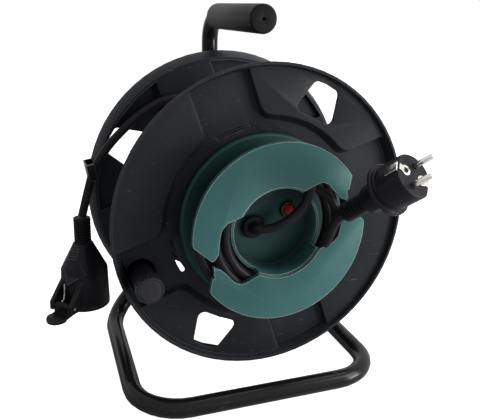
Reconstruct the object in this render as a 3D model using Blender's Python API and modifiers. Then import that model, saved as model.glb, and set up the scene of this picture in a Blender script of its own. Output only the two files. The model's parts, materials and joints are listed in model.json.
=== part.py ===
"""Extension cord reel: a two-flange drum turning on a bent tube frame, with a bowl that stores the
supply lead and its plug, a push-in winding knob, and a free cable end with a sprung-lid coupler.

Metres, +Z up. Two frames share one origin, the centre of the front rim on the drum axis.
The base frame has x right, y back and z up. The face frame is that of someone looking at the
front of the drum: x right, y up and z towards the viewer, so what lies behind the rim has z < 0.
"""
import math

import bmesh
import bpy
from mathutils import Matrix, Vector

# ---- clearances -----------------------------------------------------------------------------
GAP = 0.0003              # between touching pieces
SLIDE_GAP = 0.0004        # between pieces that slide or turn in one another
OVERLAP = 0.002           # how far joined shapes reach into one another

# ---- flanges --------------------------------------------------------------------------------
FLANGE_RADIUS = 0.140
FLANGE_WALL = 0.003
RIM_WALL = 0.0027
RIM_DRAFT = 0.0055        # how much narrower the rim's outer wall is at its back
DRUM_WIDTH = 0.1352       # front rim edge to rear rim edge
WEB_SETBACK = 0.011       # web face behind the rim edge
SECTOR_RISE = 0.006       # raised sectors above the web
SECTOR_RADIUS = 0.0948    # inner edge of a sector's face
SECTOR_SLOPE = 0.005      # run of the slope at a sector's inner edge
SECTOR_DRAFT = 0.0018     # run of the slope at a sector's sides
SECTOR_CORNER = 0.013
CHANNEL_WIDTH = 0.052
CHANNEL_ANGLE = math.radians(20)
CHANNELS = 4
WINDOW_INNER = 0.0990
WINDOW_OUTER = 0.1300
WINDOW_INNER_WIDTH = 0.0425
WINDOW_OUTER_WIDTH = 0.0255
WINDOW_CORNER = 0.006
WINDOW_BOW = 0.0012       # how far the middle of a window's curved ends stands out
REAR_WINDOW_INNER = 0.094
SLOT_RADIUS = 0.086
SLOT_WIDTH = 0.004
SLOT_LENGTH = 0.030

# ---- core, bearings and axle ----------------------------------------------------------------
CORE_RADIUS = 0.054
CORE_WALL = 0.003
CORE_WEB_DEPTH = 0.030    # front web of the core behind the front rim
BOSS_WALL = 0.004
BOSS_LENGTH = 0.016
AXLE_RADIUS = 0.010
AXLE_FRONT = 0.018        # axle's front end behind the front rim
BUSH_WALL = 0.0036
BUSH_COLLAR = 0.0035
BUSH_COLLAR_THICKNESS = 0.0015
WASHER_RADIUS = 0.018
WASHER_THICKNESS = 0.0015
CLIP_RADIUS = 0.0135
CLIP_THICKNESS = 0.0012
SCREW_CIRCLE = 0.040
SCREW_RADIUS = 0.002
SCREW_HEAD_RADIUS = 0.0042
SCREW_HEAD = 0.0024
SCREW_LENGTH = 0.013

# ---- frame ----------------------------------------------------------------------------------
TUBE_RADIUS = 0.00855
AXLE_HEIGHT = 0.1557
FOOT_Z = TUBE_RADIUS - AXLE_HEIGHT
FRONT_BAR_Y = -0.0433
UPRIGHT_Y = 0.1757
FOOT_FRONT_RIGHT_X = 0.1033
FOOT_REAR_RIGHT_X = 0.1077
FOOT_FRONT_LEFT_X = -0.127
FOOT_REAR_LEFT_X = -0.119
FOOT_END_Y = 0.1448
FOOT_REAR_LEFT_Y = 0.1468
DIAGONAL_TOP_Z = -0.028
HANDLE_Z = 0.1728
FRONT_BEND = 0.0434
REAR_BEND = 0.0348
UPRIGHT_BEND = 0.058
HANDLE_BEND = 0.026
BEND_STEPS = 8
END_CAP_DEPTH = 0.012
END_CAP_WALL = 0.0025
TUBE_WALL = 0.0015
GRIP_RADIUS = 0.0126
GRIP_FRONT_Y = 0.0241
GRIP_REAR_Y = 0.1490
GRIP_END_WALL = 0.003
GRIP_EDGE = 0.0012
VENT_RADIUS = 0.0012

# ---- bracket on the upright -----------------------------------------------------------------
BRACKET_WIDTH = 0.048
BRACKET_BOTTOM_Z = -0.020
BEND_RELIEF = 0.002        # plate set back from the upright's bend
BEND_RELIEF_Z = -0.005
BRACKET_TOP_Z = 0.050
BRACKET_PLATE = 0.0168
CHEEK_BOTTOM_Z = 0.004
CHEEK_REACH = 0.011
SPIGOT_RADIUS = 0.0175
AXLE_SEAT_FLOOR = 0.004
BOLT_RADIUS = 0.0025
BOLT_HEAD_RADIUS = 0.0045
BOLT_HEAD = 0.0035
NUT_HEIGHT = 0.004
BOLT_HEIGHTS = (0.016, 0.038)

# ---- lead bowl and storage plate ------------------------------------------------------------
BOWL_RADIUS = 0.0784
BOWL_FACE_RADIUS = 0.0763
BOWL_FACE_DEPTH = 0.0068  # face of the bowl's ring behind the front rim
CUP_RADIUS = 0.0388
CUP_WALL = 0.0025
CUP_FLOOR = 0.0058        # face of the cup's floor in front of the rim
FLOOR_WALL = 0.0025
CUP_EDGE = 0.008          # front edge of the bowl's own wall
COLLAR_EDGE = 0.020       # front edge of the plate's collar in the scallops
PLATE_FACE = 0.0338
PLATE_THICKNESS = 0.0045
PLATE_RADIUS = 0.0787
PLATE_BORE = 0.0406
COLLAR_STEP = 0.0028
LOBE_SLIT = math.radians(2)
GROMMET_POSITION = (-0.0163, -0.0010)
GROMMET_RADIUS = 0.0104
GROMMET_NECK = 0.0070
GROMMET_COLLAR = 0.0040   # thickness of the grommet's collar on the floor
SPOUT_RADIUS = 0.0062     # bent sleeve that leads the cord out of the collar
SPOUT_CLEARANCE = 0.0008  # between the spout's bore and the lead
SPOUT_POINTS = ((-0.0163, -0.0075, -0.0010), (-0.0161, -0.0100, -0.0010), (-0.0150, -0.0120, -0.0012),
                (-0.0132, -0.0132, -0.0014), (-0.0113, -0.0140, -0.0016))
BUTTON_POSITION = (0.0171, 0.0119)
BUTTON_RADIUS = 0.0055
BEZEL_RADIUS = 0.0073
BUTTON_FACE = 0.0095
BUTTON_TRAVEL = 0.0025
BEZEL_RISE = 0.0024       # front edge of the button's bezel in front of the cup's floor
CUTOUT_SIZE = (0.017, 0.026, 0.018)
CLAMP_POSITION = -0.0300
CLAMP_WIDTH = 0.012
CLAMP_HEIGHT = 0.020
TERMINAL_POSITION = -0.0330
TERMINAL_SIZE = (0.034, 0.012, 0.016)

# ---- winding knob ---------------------------------------------------------------------------
KNOB_INSET = 0.0203       # knob's axis from the flange's edge
KNOB_CIRCLE = FLANGE_RADIUS - KNOB_INSET
KNOB_ANGLE = math.radians(200)
KNOB_FACE = 0.029         # cap of the pulled-out knob in front of the rim
KNOB_RADIUS = 0.0119
KNOB_LENGTH = 0.030
KNOB_CAP_RADIUS = 0.0091
KNOB_TRAVEL = 0.028
KNOB_FLUTES = 12
KNOB_PIN_RADIUS = 0.004
KNOB_PIN_INSET = 0.006    # front end of the pin behind the cap's face
KNOB_PIN_TAIL = 0.004     # length of the pin behind its stop clip
STOP_CLIP_WIDTH = 0.003
STOP_CLIP_THICKNESS = 0.0015
KNOB_HEAD = 0.009         # height of the knob's fluted head
KNOB_STEP = 0.0012        # how much wider the head is than the grip behind it
KNOB_CAP_SEAT = 0.005     # floor of the cap's recess behind its face
SHANK_RADIUS = 0.0102
SHANK_LENGTH = 0.0157
SOCKET_RADIUS = 0.0132
SOCKET_WALL = 0.0022
SOCKET_DEPTH = 0.046      # floor of the socket behind the front rim

# ---- cords ----------------------------------------------------------------------------------
CORD_RADIUS = 0.0042
WINDING_RADIUS = 0.084
LEAD_COIL_INNER = 0.0435
LEAD_COIL_OUTER = 0.0745
CLIP_POINT = 7            # the tail's own point where the clip holds it on the rear rim
CLIP_WALL = 0.0012
CLIP_LENGTH = 0.016
CLIP_HOOK = 0.006
CLIP_COVER = 0.35         # share of the cable's half width that the hook covers

# ---- coupler on the free end ----------------------------------------------------------------
COUPLER_TOP = (-0.1493, 0.1172, -0.0200)
COUPLER_TURN = math.radians(-47)
SLEEVE_LENGTH = 0.026
SLEEVE_RADIUS = 0.0086
SLEEVE_SLOTS = 7
SLEEVE_HEAD = 0.004       # plain band at the top of the coupler's sleeve
SLEEVE_SLOT_DEPTH = 0.0012
COUPLER_RADIUS = 0.0242
COUPLER_SHOULDER = 0.053  # widest section below the coupler's top
COUPLER_LENGTH = 0.0885
WELL_RADIUS = 0.0195
WELL_DEPTH = 0.0175
SOCKET_FACE = 0.004
LID_THICKNESS = 0.0037
HINGE_REACH = 0.033       # hinge axis from the coupler's axis
HINGE_RISE = 0.0055       # hinge axis above the coupler's rim
BARREL_RADIUS = 0.0036
BARREL_LENGTH = 0.019
EAR_THICKNESS = 0.004
EAR_HEIGHT = 0.029
HINGE_PIN_RADIUS = 0.0015
TAB_LENGTH = 0.020
TAB_WIDTH = 0.022
TAB_NECK_LENGTH = 0.0075   # the tab passes between the ears over this length
SPRING_WIRE = 0.0007

# ---- plug on the supply lead ----------------------------------------------------------------
PLUG_START = (0.0550, -0.0427, 0.0167)
PLUG_DIRECTION = (0.292, -0.750, 0.594)
PIN_DIRECTION = (-0.447, -0.656, -0.609)
PLUG_SLEEVE_LENGTH = 0.026
PLUG_SLEEVE_RADIUS = 0.0088
PLUG_RIBS = 6
PLUG_RIB_DEPTH = 0.0015
PLUG_NECK_RADIUS = 0.0122
PLUG_COLLAR_RADIUS = 0.0223
PLUG_COLLAR_WIDTH = 0.0045
PLUG_RADIUS = 0.0189
PLUG_FRONT = 0.0250       # from the collar to the plug's face
PLUG_LENGTH = 0.0771
PLUG_FLAT = 0.0158        # flats beside the pins, from the plug's axis
PLUG_FLAT_WIDTH = 0.026
CONTACT_SIZE = (0.0080, 0.0012, 0.0125)
CONTACT_SETBACK = 0.001   # contact's end behind the plug's face
PIN_RADIUS = 0.0024
PIN_LENGTH = 0.019
PIN_ROOT = 0.006          # held in the plug's body
PIN_SPACING = 0.019

# ---- colours, roughness, metallic -----------------------------------------------------------
FINISHES = {
    "black_plastic": ((0.045, 0.047, 0.052), 0.45, 0.0),
    "dark_plastic": ((0.020, 0.021, 0.024), 0.40, 0.0),
    "green_plastic": ((0.055, 0.145, 0.135), 0.38, 0.0),
    "dark_green": ((0.015, 0.060, 0.052), 0.42, 0.0),
    "black_paint": ((0.018, 0.019, 0.020), 0.25, 0.3),
    "rubber": ((0.022, 0.022, 0.025), 0.60, 0.0),
    "cord_rubber": ((0.030, 0.029, 0.033), 0.50, 0.0),
    "steel": ((0.620, 0.630, 0.640), 0.30, 1.0),
    "nickel": ((0.760, 0.750, 0.720), 0.20, 1.0),
    "red_plastic": ((0.300, 0.008, 0.012), 0.35, 0.0),
    "white_plastic": ((0.700, 0.690, 0.660), 0.45, 0.0),
}


# ---- scene and object helpers ---------------------------------------------------------------
def clear_scene():
    for old in list(bpy.data.objects):
        bpy.data.objects.remove(old, do_unlink=True)


def new_collection(name):
    collection = bpy.data.collections.new(name)
    bpy.context.scene.collection.children.link(collection)
    return collection


clear_scene()
PARTS = new_collection("extension_cord_reel")
CUTTERS = new_collection("cutters")


def finish(name):
    """The Principled material of one finish, made once."""
    found = bpy.data.materials.get(name)
    if found:
        return found
    colour, roughness, metallic = FINISHES[name]
    made = bpy.data.materials.new(name)
    made.use_nodes = True
    shader = made.node_tree.nodes["Principled BSDF"]
    shader.inputs["Base Color"].default_value = (*colour, 1.0)
    shader.inputs["Roughness"].default_value = roughness
    shader.inputs["Metallic"].default_value = metallic
    made.diffuse_color = (*colour, 1.0)
    return made


def own_finish(name, node):
    made = finish(name).copy()
    made.name = f"{node}_{name}"
    return made


def empty(name, parent=None, location=(0, 0, 0), rotation=None):
    guide = bpy.data.objects.new(name, None)
    PARTS.objects.link(guide)
    guide.parent = parent
    guide.location = location
    if rotation is not None:
        guide.rotation_euler = rotation
    return guide


def add(name, data, look, parent, location=(0, 0, 0), rotation=(0, 0, 0)):
    """A named piece with its own material."""
    piece = bpy.data.objects.new(name, data)
    PARTS.objects.link(piece)
    piece.parent = parent
    piece.location = location
    piece.rotation_euler = rotation
    data.materials.clear()
    data.materials.append(own_finish(look, name))
    if isinstance(data, bpy.types.Mesh):
        data.shade_smooth()
        data.set_sharp_from_angle(angle=math.radians(35))
    return piece


def cutter(name, data, parent, location=(0, 0, 0), rotation=(0, 0, 0)):
    """A helper solid that is added to or cut from a piece and is no piece itself."""
    tool = bpy.data.objects.new(name, data)
    CUTTERS.objects.link(tool)
    tool.parent = parent
    tool.location = location
    tool.rotation_euler = rotation
    tool.hide_render = True
    tool.display_type = "WIRE"
    return tool


def combine(piece, tool, operation):
    step = piece.modifiers.new(f"{operation.lower()}_{tool.name}", "BOOLEAN")
    step.operation = operation
    step.solver = "EXACT"
    step.object = tool
    return step


def cut(piece, tool):
    return combine(piece, tool, "DIFFERENCE")


def join(piece, tool):
    return combine(piece, tool, "UNION")


# ---- mesh helpers ---------------------------------------------------------------------------
def mesh_from(builder):
    data = bpy.data.meshes.new("shape")
    work = bmesh.new()
    builder(work)
    bmesh.ops.recalc_face_normals(work, faces=work.faces)
    work.to_mesh(data)
    work.free()
    return data


def profile_mesh(profile, closed):
    """The outline that a Screw modifier turns: (radius, height) pairs."""
    data = bpy.data.meshes.new("profile")
    count = len(profile)
    edges = [(i, i + 1) for i in range(count - 1)]
    if closed:
        edges.append((count - 1, 0))
    data.from_pydata([(r, 0.0, z) for r, z in profile], edges, [])
    return data


def spin(piece, steps):
    turn = piece.modifiers.new("turn", "SCREW")
    turn.axis = "Z"
    turn.angle = 2 * math.pi
    turn.steps = steps
    turn.render_steps = steps
    turn.use_merge_vertices = True
    turn.merge_threshold = 0.00001
    turn.use_smooth_shade = False
    return turn


def turned(name, profile, look, parent, location=(0, 0, 0), rotation=(0, 0, 0), steps=32, closed=False):
    piece = add(name, profile_mesh(profile, closed), look, parent, location, rotation)
    spin(piece, steps)
    return piece


def turned_cutter(name, profile, parent, location=(0, 0, 0), rotation=(0, 0, 0), steps=32):
    tool = cutter(name, profile_mesh(profile, False), parent, location, rotation)
    spin(tool, steps)
    return tool


def rod(radius, low, high):
    """Profile of a plain cylinder on the axis."""
    return [(0, high), (radius, high), (radius, low), (0, low)]


def ring(inner, outer, low, high):
    """Profile of a plain ring, to be turned closed."""
    return [(inner, high), (outer, high), (outer, low), (inner, low)]


def box_mesh(size, centre):
    def build(work):
        bmesh.ops.create_cube(work, size=1.0)
        bmesh.ops.scale(work, vec=size, verts=work.verts)
        bmesh.ops.translate(work, vec=centre, verts=work.verts)
    return mesh_from(build)


def loft(work, sections):
    """Closed solid through outlines of equal counts: each section is a list of points."""
    rings = [[work.verts.new(point) for point in section] for section in sections]
    count = len(rings[0])
    for lower, upper in zip(rings, rings[1:]):
        for i in range(count):
            j = (i + 1) % count
            work.faces.new((lower[i], lower[j], upper[j], upper[i]))
    work.faces.new(rings[0])
    work.faces.new(rings[-1])


def at_height(outline, z):
    return [(x, y, z) for x, y in outline]


def turn_outline(outline, angle):
    c, s = math.cos(angle), math.sin(angle)
    return [(c * x - s * y, s * x + c * y) for x, y in outline]


def prisms_mesh(outlines, low, high):
    def build(work):
        for outline in outlines:
            loft(work, [at_height(outline, low), at_height(outline, high)])
    return mesh_from(build)


def arc(centre, radius, start, end, steps):
    x, y = centre
    return [(x + radius * math.cos(start + (end - start) * i / steps),
             y + radius * math.sin(start + (end - start) * i / steps)) for i in range(steps + 1)]


def circle(centre, radius, steps):
    return arc(centre, radius, 0.0, 2 * math.pi, steps)[:-1]


def round_corners(points, radii, steps):
    """A closed outline with each corner replaced by an arc of its radius."""
    rounded = []
    count = len(points)
    for i, corner in enumerate(points):
        rounded += corner_arc(points[i - 1], corner, points[(i + 1) % count], radii[i], steps)
    return rounded


def corner_arc(before, corner, after, radius, steps):
    """Points of the arc that rounds a corner, in two or three dimensions."""
    here = Vector(corner)
    if radius <= 0:
        return [tuple(here)]
    back = (Vector(before) - here).normalized()
    on = (Vector(after) - here).normalized()
    angle = back.angle(on)
    reach = radius / math.tan(angle / 2)
    centre = here + (back + on).normalized() * radius / math.sin(angle / 2)
    first = here + back * reach - centre
    last = here + on * reach - centre
    sweep = first.angle(last)
    points = []
    for i in range(steps + 1):
        share = i / steps
        mix = first * math.sin((1 - share) * sweep) + last * math.sin(share * sweep)
        points.append(tuple(centre + mix / math.sin(sweep)))
    return points


def tube_curve(points, radius, resolution):
    data = bpy.data.curves.new("route", "CURVE")
    data.dimensions = "3D"
    data.bevel_depth = radius
    data.bevel_resolution = resolution
    data.use_fill_caps = True
    line = data.splines.new("POLY")
    line.points.add(len(points) - 1)
    for target, point in zip(line.points, points):
        target.co = (*point, 1.0)
    return data


def curve_to_mesh(piece):
    """Replace a curve object by the same shape as a closed mesh."""
    bpy.context.view_layer.update()
    graph = bpy.context.evaluated_depsgraph_get()
    data = bpy.data.meshes.new_from_object(piece.evaluated_get(graph))
    work = bmesh.new()
    work.from_mesh(data)
    bmesh.ops.remove_doubles(work, verts=work.verts, dist=0.00001)
    bmesh.ops.recalc_face_normals(work, faces=work.faces)
    work.to_mesh(data)
    work.free()
    name, place, parent = piece.name, piece.matrix_world.copy(), piece.parent
    bpy.data.objects.remove(piece, do_unlink=True)
    solid = bpy.data.objects.new(name, data)
    PARTS.objects.link(solid)
    solid.parent = parent
    solid.matrix_world = place
    data.shade_smooth()
    data.set_sharp_from_angle(angle=math.radians(35))
    return solid


def tube_mesh(points, first_radius, last_radius, sides):
    """A bent sleeve that tapers from its first point to its last."""
    route = [Vector(p) for p in points]
    last = len(route) - 1

    def build(work):
        sections = []
        across = None
        for i, centre in enumerate(route):
            along = (route[min(i + 1, last)] - route[max(i - 1, 0)]).normalized()
            across = along.orthogonal() if across is None else across - across.dot(along) * along
            across = across.normalized()
            up = along.cross(across)
            radius = first_radius + (last_radius - first_radius) * i / last
            turns = [2 * math.pi * k / sides for k in range(sides)]
            sections.append([centre + radius * (math.cos(t) * across + math.sin(t) * up) for t in turns])
        loft(work, sections)

    return mesh_from(build)


def smooth_route(points, spacing):
    """Points at an even spacing on a Catmull-Rom curve through the route's own points."""
    knots = [Vector(p) for p in points]
    knots = [2 * knots[0] - knots[1]] + knots + [2 * knots[-1] - knots[-2]]
    fine = []
    for a, b, c, d in zip(knots, knots[1:], knots[2:], knots[3:]):
        for i in range(24):
            t = i / 24
            fine.append(0.5 * (2 * b + (c - a) * t + (2 * a - 5 * b + 4 * c - d) * t ** 2
                               + (3 * b - a - 3 * c + d) * t ** 3))
    fine.append(knots[-2])
    total = sum((q - p).length for p, q in zip(fine, fine[1:]))
    count = max(2, round(total / spacing))
    picked = [fine[0]]
    walked = 0.0
    for p, q in zip(fine, fine[1:]):
        walked += (q - p).length
        if walked >= len(picked) * total / count and len(picked) < count:
            picked.append(q)
    picked.append(fine[-1])
    return [tuple(p) for p in picked]


def polar(radius, angle):
    return (radius * math.cos(angle), radius * math.sin(angle))


# ---- frames ---------------------------------------------------------------------------------
QUARTER = math.pi / 2
Y_SHIFT = (FRONT_BAR_Y - TUBE_RADIUS + UPRIGHT_Y + TUBE_RADIUS) / 2
BASE = empty("base_frame", None, (0, -Y_SHIFT, AXLE_HEIGHT))
FACE = empty("drum_axis", BASE, (0, 0, 0), (math.pi / 2, 0, 0))


# ---- flanges --------------------------------------------------------------------------------
def sector_outline(inner, side, outer, corner):
    """A sector between two channels at right angles, whose centre lines are the local x and y."""
    far = math.sqrt(outer ** 2 - side ** 2)
    across = side + corner
    along = math.sqrt((inner + corner) ** 2 - across ** 2)
    lean = math.atan2(along, across)
    start = math.atan2(side, far)
    outline = [(side, far)]
    outline += arc((across, along), corner, math.pi, math.pi + lean, 4)
    outline += [polar(inner, lean + (QUARTER - 2 * lean) * i / 6) for i in range(1, 6)]
    outline += arc((along, across), corner, math.pi + QUARTER - lean, math.pi + QUARTER, 4)
    outline.append((far, side))
    outline += [polar(outer, start + (QUARTER - 2 * start) * i / 6) for i in range(1, 6)]
    return outline


def window_outline(inner):
    """A window about the local x axis, wide at the hub side and narrow at the rim side."""
    outer = WINDOW_OUTER
    wide = WINDOW_INNER_WIDTH / 2
    narrow = WINDOW_OUTER_WIDTH / 2
    corners = [(inner, -wide), (outer, -narrow), (outer + WINDOW_BOW, 0.0), (outer, narrow), (inner, wide)]
    corners.append((inner + WINDOW_BOW, 0.0))
    radii = [WINDOW_CORNER, WINDOW_CORNER, 0.0, WINDOW_CORNER, WINDOW_CORNER, 0.0]
    return round_corners(corners, radii, 4)


def slot_outline():
    """A slot along the circle of SLOT_RADIUS, centred on the local x axis."""
    half = SLOT_WIDTH / 2
    reach = SLOT_LENGTH / 2 / SLOT_RADIUS
    ends = (polar(SLOT_RADIUS, reach), polar(SLOT_RADIUS, -reach))
    outer = [polar(SLOT_RADIUS + half, -reach + 2 * reach * i / 4) for i in range(5)]
    inner = [polar(SLOT_RADIUS - half, reach - 2 * reach * i / 4) for i in range(5)]
    head = arc(ends[0], half, reach, reach + math.pi, 3)[1:-1]
    tail = arc(ends[1], half, math.pi - reach, 2 * math.pi - reach, 3)[1:-1]
    return outer + head + inner + tail


def flange(name, first_channel, bore, window_inner, windows, parent, rotation, extra_cuts):
    """A dished flange: rim at z = 0, web behind it, four hollow raised sectors, windows and slots."""
    web = -WEB_SETBACK
    back = web - FLANGE_WALL
    face = web + SECTOR_RISE
    middle = web - FLANGE_WALL / 2

    def outside(z):
        return FLANGE_RADIUS - RIM_DRAFT * z / back

    def inside(z):
        return outside(z) - RIM_WALL

    profile = [(bore, web), (inside(web), web), (inside(0), 0), (FLANGE_RADIUS, 0), (outside(back), back),
               (bore, back)]
    piece = turned(name, profile, "black_plastic", parent, rotation=rotation, steps=72, closed=True)
    turns = [first_channel + i * 2 * math.pi / CHANNELS for i in range(CHANNELS)]
    side = CHANNEL_WIDTH / 2
    foot_inner = SECTOR_RADIUS - SECTOR_SLOPE
    top_side = side + SECTOR_DRAFT

    def pad(inner, width, z):
        return sector_outline(inner, width, inside(z) + RIM_WALL / 2, SECTOR_CORNER)

    def pocket(inner, width, z):
        corner = SECTOR_CORNER - FLANGE_WALL
        return sector_outline(inner + FLANGE_WALL, width + FLANGE_WALL, inside(z), corner)

    def sectors(work, sections):
        for turn in turns:
            loft(work, [at_height(turn_outline(outline, turn), z) for outline, z in sections])

    def pads(work):
        sectors(work, [(pad(foot_inner, side, middle), middle), (pad(foot_inner, side, web), web),
                       (pad(SECTOR_RADIUS, top_side, face), face)])

    def pockets(work):
        ceiling = face - FLANGE_WALL
        foot = pocket(foot_inner, side, back)
        sectors(work, [(foot, back - OVERLAP), (foot, back),
                       (pocket(SECTOR_RADIUS, top_side, ceiling), ceiling)])

    join(piece, cutter(f"{name}_pads", mesh_from(pads), parent, rotation=rotation))
    cut(piece, cutter(f"{name}_pockets", mesh_from(pockets), parent, rotation=rotation))
    holes = [turn_outline(window_outline(window_inner), angle) for angle in windows]
    holes += [turn_outline(slot_outline(), turn) for turn in turns]
    holes += extra_cuts
    through = prisms_mesh(holes, back - OVERLAP, face + OVERLAP)
    cut(piece, cutter(f"{name}_holes", through, parent, rotation=rotation))
    return piece


SECTOR_MIDDLES = [CHANNEL_ANGLE + QUARTER / 2 + i * QUARTER for i in range(CHANNELS)]
FRONT_BORE = CORE_RADIUS - 2 * CORE_WALL
BUSH_RADIUS = AXLE_RADIUS + SLIDE_GAP + BUSH_WALL
BUSH_SEAT = BUSH_RADIUS + GAP
FRONT_WEB_BACK = -(WEB_SETBACK + FLANGE_WALL)
REAR_WEB_FRONT = -(DRUM_WIDTH - WEB_SETBACK - FLANGE_WALL)
REAR_WEB_BACK = REAR_WEB_FRONT - FLANGE_WALL
SCREW_ANGLES = [CHANNEL_ANGLE + i * QUARTER for i in range(4)]
KNOB_PLACE = polar(KNOB_CIRCLE, KNOB_ANGLE)


def make_flanges():
    front_windows = [SECTOR_MIDDLES[0], SECTOR_MIDDLES[2]]
    knob_hole = circle(KNOB_PLACE, SOCKET_RADIUS, 32)
    flange("front_flange", CHANNEL_ANGLE, FRONT_BORE, WINDOW_INNER, front_windows, FACE, (0, 0, 0),
           [knob_hole])
    rear = empty("rear_flange_frame", FACE, (0, 0, -DRUM_WIDTH), (0, math.pi, 0))
    screw_holes = [circle(polar(SCREW_CIRCLE, math.pi - a), SCREW_RADIUS + GAP, 12) for a in SCREW_ANGLES]
    flange("rear_flange", QUARTER - CHANNEL_ANGLE, BUSH_SEAT, REAR_WINDOW_INNER,
           [math.pi - a for a in SECTOR_MIDDLES], rear, (0, 0, 0), screw_holes)


# ---- core, bearings, axle -------------------------------------------------------------------
def make_core():
    front = FRONT_WEB_BACK - GAP
    rear = REAR_WEB_FRONT + GAP
    web = -CORE_WEB_DEPTH
    inside = CORE_RADIUS - CORE_WALL
    boss = BUSH_SEAT + BOSS_WALL
    boss_front = web + BOSS_WALL
    profile = [(BUSH_SEAT, boss_front), (boss, boss_front), (boss, web), (inside, web), (inside, front),
               (CORE_RADIUS, front), (CORE_RADIUS, rear), (BUSH_SEAT, rear), (BUSH_SEAT, rear + CORE_WALL),
               (inside, rear + CORE_WALL), (inside, web - CORE_WALL), (boss, web - CORE_WALL),
               (boss, boss_front - BOSS_LENGTH), (BUSH_SEAT, boss_front - BOSS_LENGTH)]
    core = turned("drum_core", profile, "black_plastic", FACE, steps=32, closed=True)
    holes = [circle(polar(SCREW_CIRCLE, a), SCREW_RADIUS + GAP, 12) for a in SCREW_ANGLES]
    cut(core, cutter("core_holes", prisms_mesh(holes, rear - OVERLAP, rear + CORE_WALL + OVERLAP), FACE))
    head = [(0, -SCREW_HEAD), (SCREW_HEAD_RADIUS * 0.8, -SCREW_HEAD), (SCREW_HEAD_RADIUS, -SCREW_HEAD * 0.6),
            (SCREW_HEAD_RADIUS, 0), (SCREW_RADIUS, 0), (SCREW_RADIUS, SCREW_LENGTH), (0, SCREW_LENGTH)]
    head.reverse()
    for i, angle in enumerate(SCREW_ANGLES):
        x, y = polar(SCREW_CIRCLE, angle)
        turned(f"flange_screw_{i + 1}", head, "steel", FACE, (x, y, REAR_WEB_BACK - GAP), steps=16)
    collar = BUSH_RADIUS + BUSH_COLLAR
    bore = AXLE_RADIUS + SLIDE_GAP
    collar_back = boss_front + GAP
    collar_front = collar_back + BUSH_COLLAR_THICKNESS
    turned("bush_front", [(bore, collar_front), (collar, collar_front), (collar, collar_back),
                          (BUSH_RADIUS, collar_back), (BUSH_RADIUS, boss_front - BOSS_LENGTH),
                          (bore, boss_front - BOSS_LENGTH)], "white_plastic", FACE, steps=24, closed=True)
    rear_front = REAR_WEB_BACK - GAP
    rear_back = rear_front - BUSH_COLLAR_THICKNESS
    turned("bush_rear", [(bore, rear + CORE_WALL), (BUSH_RADIUS, rear + CORE_WALL),
                         (BUSH_RADIUS, rear_front), (collar, rear_front), (collar, rear_back),
                         (bore, rear_back)], "white_plastic", FACE, steps=24, closed=True)
    return collar_front, rear_back


def make_axle(washer_seat):
    groove = AXLE_RADIUS - 0.001
    washer_front = washer_seat + GAP + WASHER_THICKNESS
    clip_back = washer_front + GAP
    clip_front = clip_back + CLIP_THICKNESS
    axle_rear = -(UPRIGHT_Y - TUBE_RADIUS - GAP) + AXLE_SEAT_FLOOR + GAP
    turned("axle", [(0, -AXLE_FRONT), (AXLE_RADIUS - 0.001, -AXLE_FRONT), (AXLE_RADIUS, -AXLE_FRONT - 0.001),
                    (AXLE_RADIUS, clip_front + GAP), (groove, clip_front + GAP), (groove, clip_back - GAP),
                    (AXLE_RADIUS, clip_back - GAP), (AXLE_RADIUS, axle_rear), (0, axle_rear)],
           "steel", FACE, steps=32)
    turned("axle_washer", ring(AXLE_RADIUS + GAP, WASHER_RADIUS, washer_seat + GAP, washer_front),
           "steel", FACE, steps=32, closed=True)
    clip = arc((0, 0), CLIP_RADIUS, math.radians(110), math.radians(430), 28)
    clip += arc((0, 0), groove + GAP, math.radians(430), math.radians(110), 28)
    add("axle_clip", prisms_mesh([clip], clip_back, clip_front), "steel", FACE)
    return axle_rear


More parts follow.
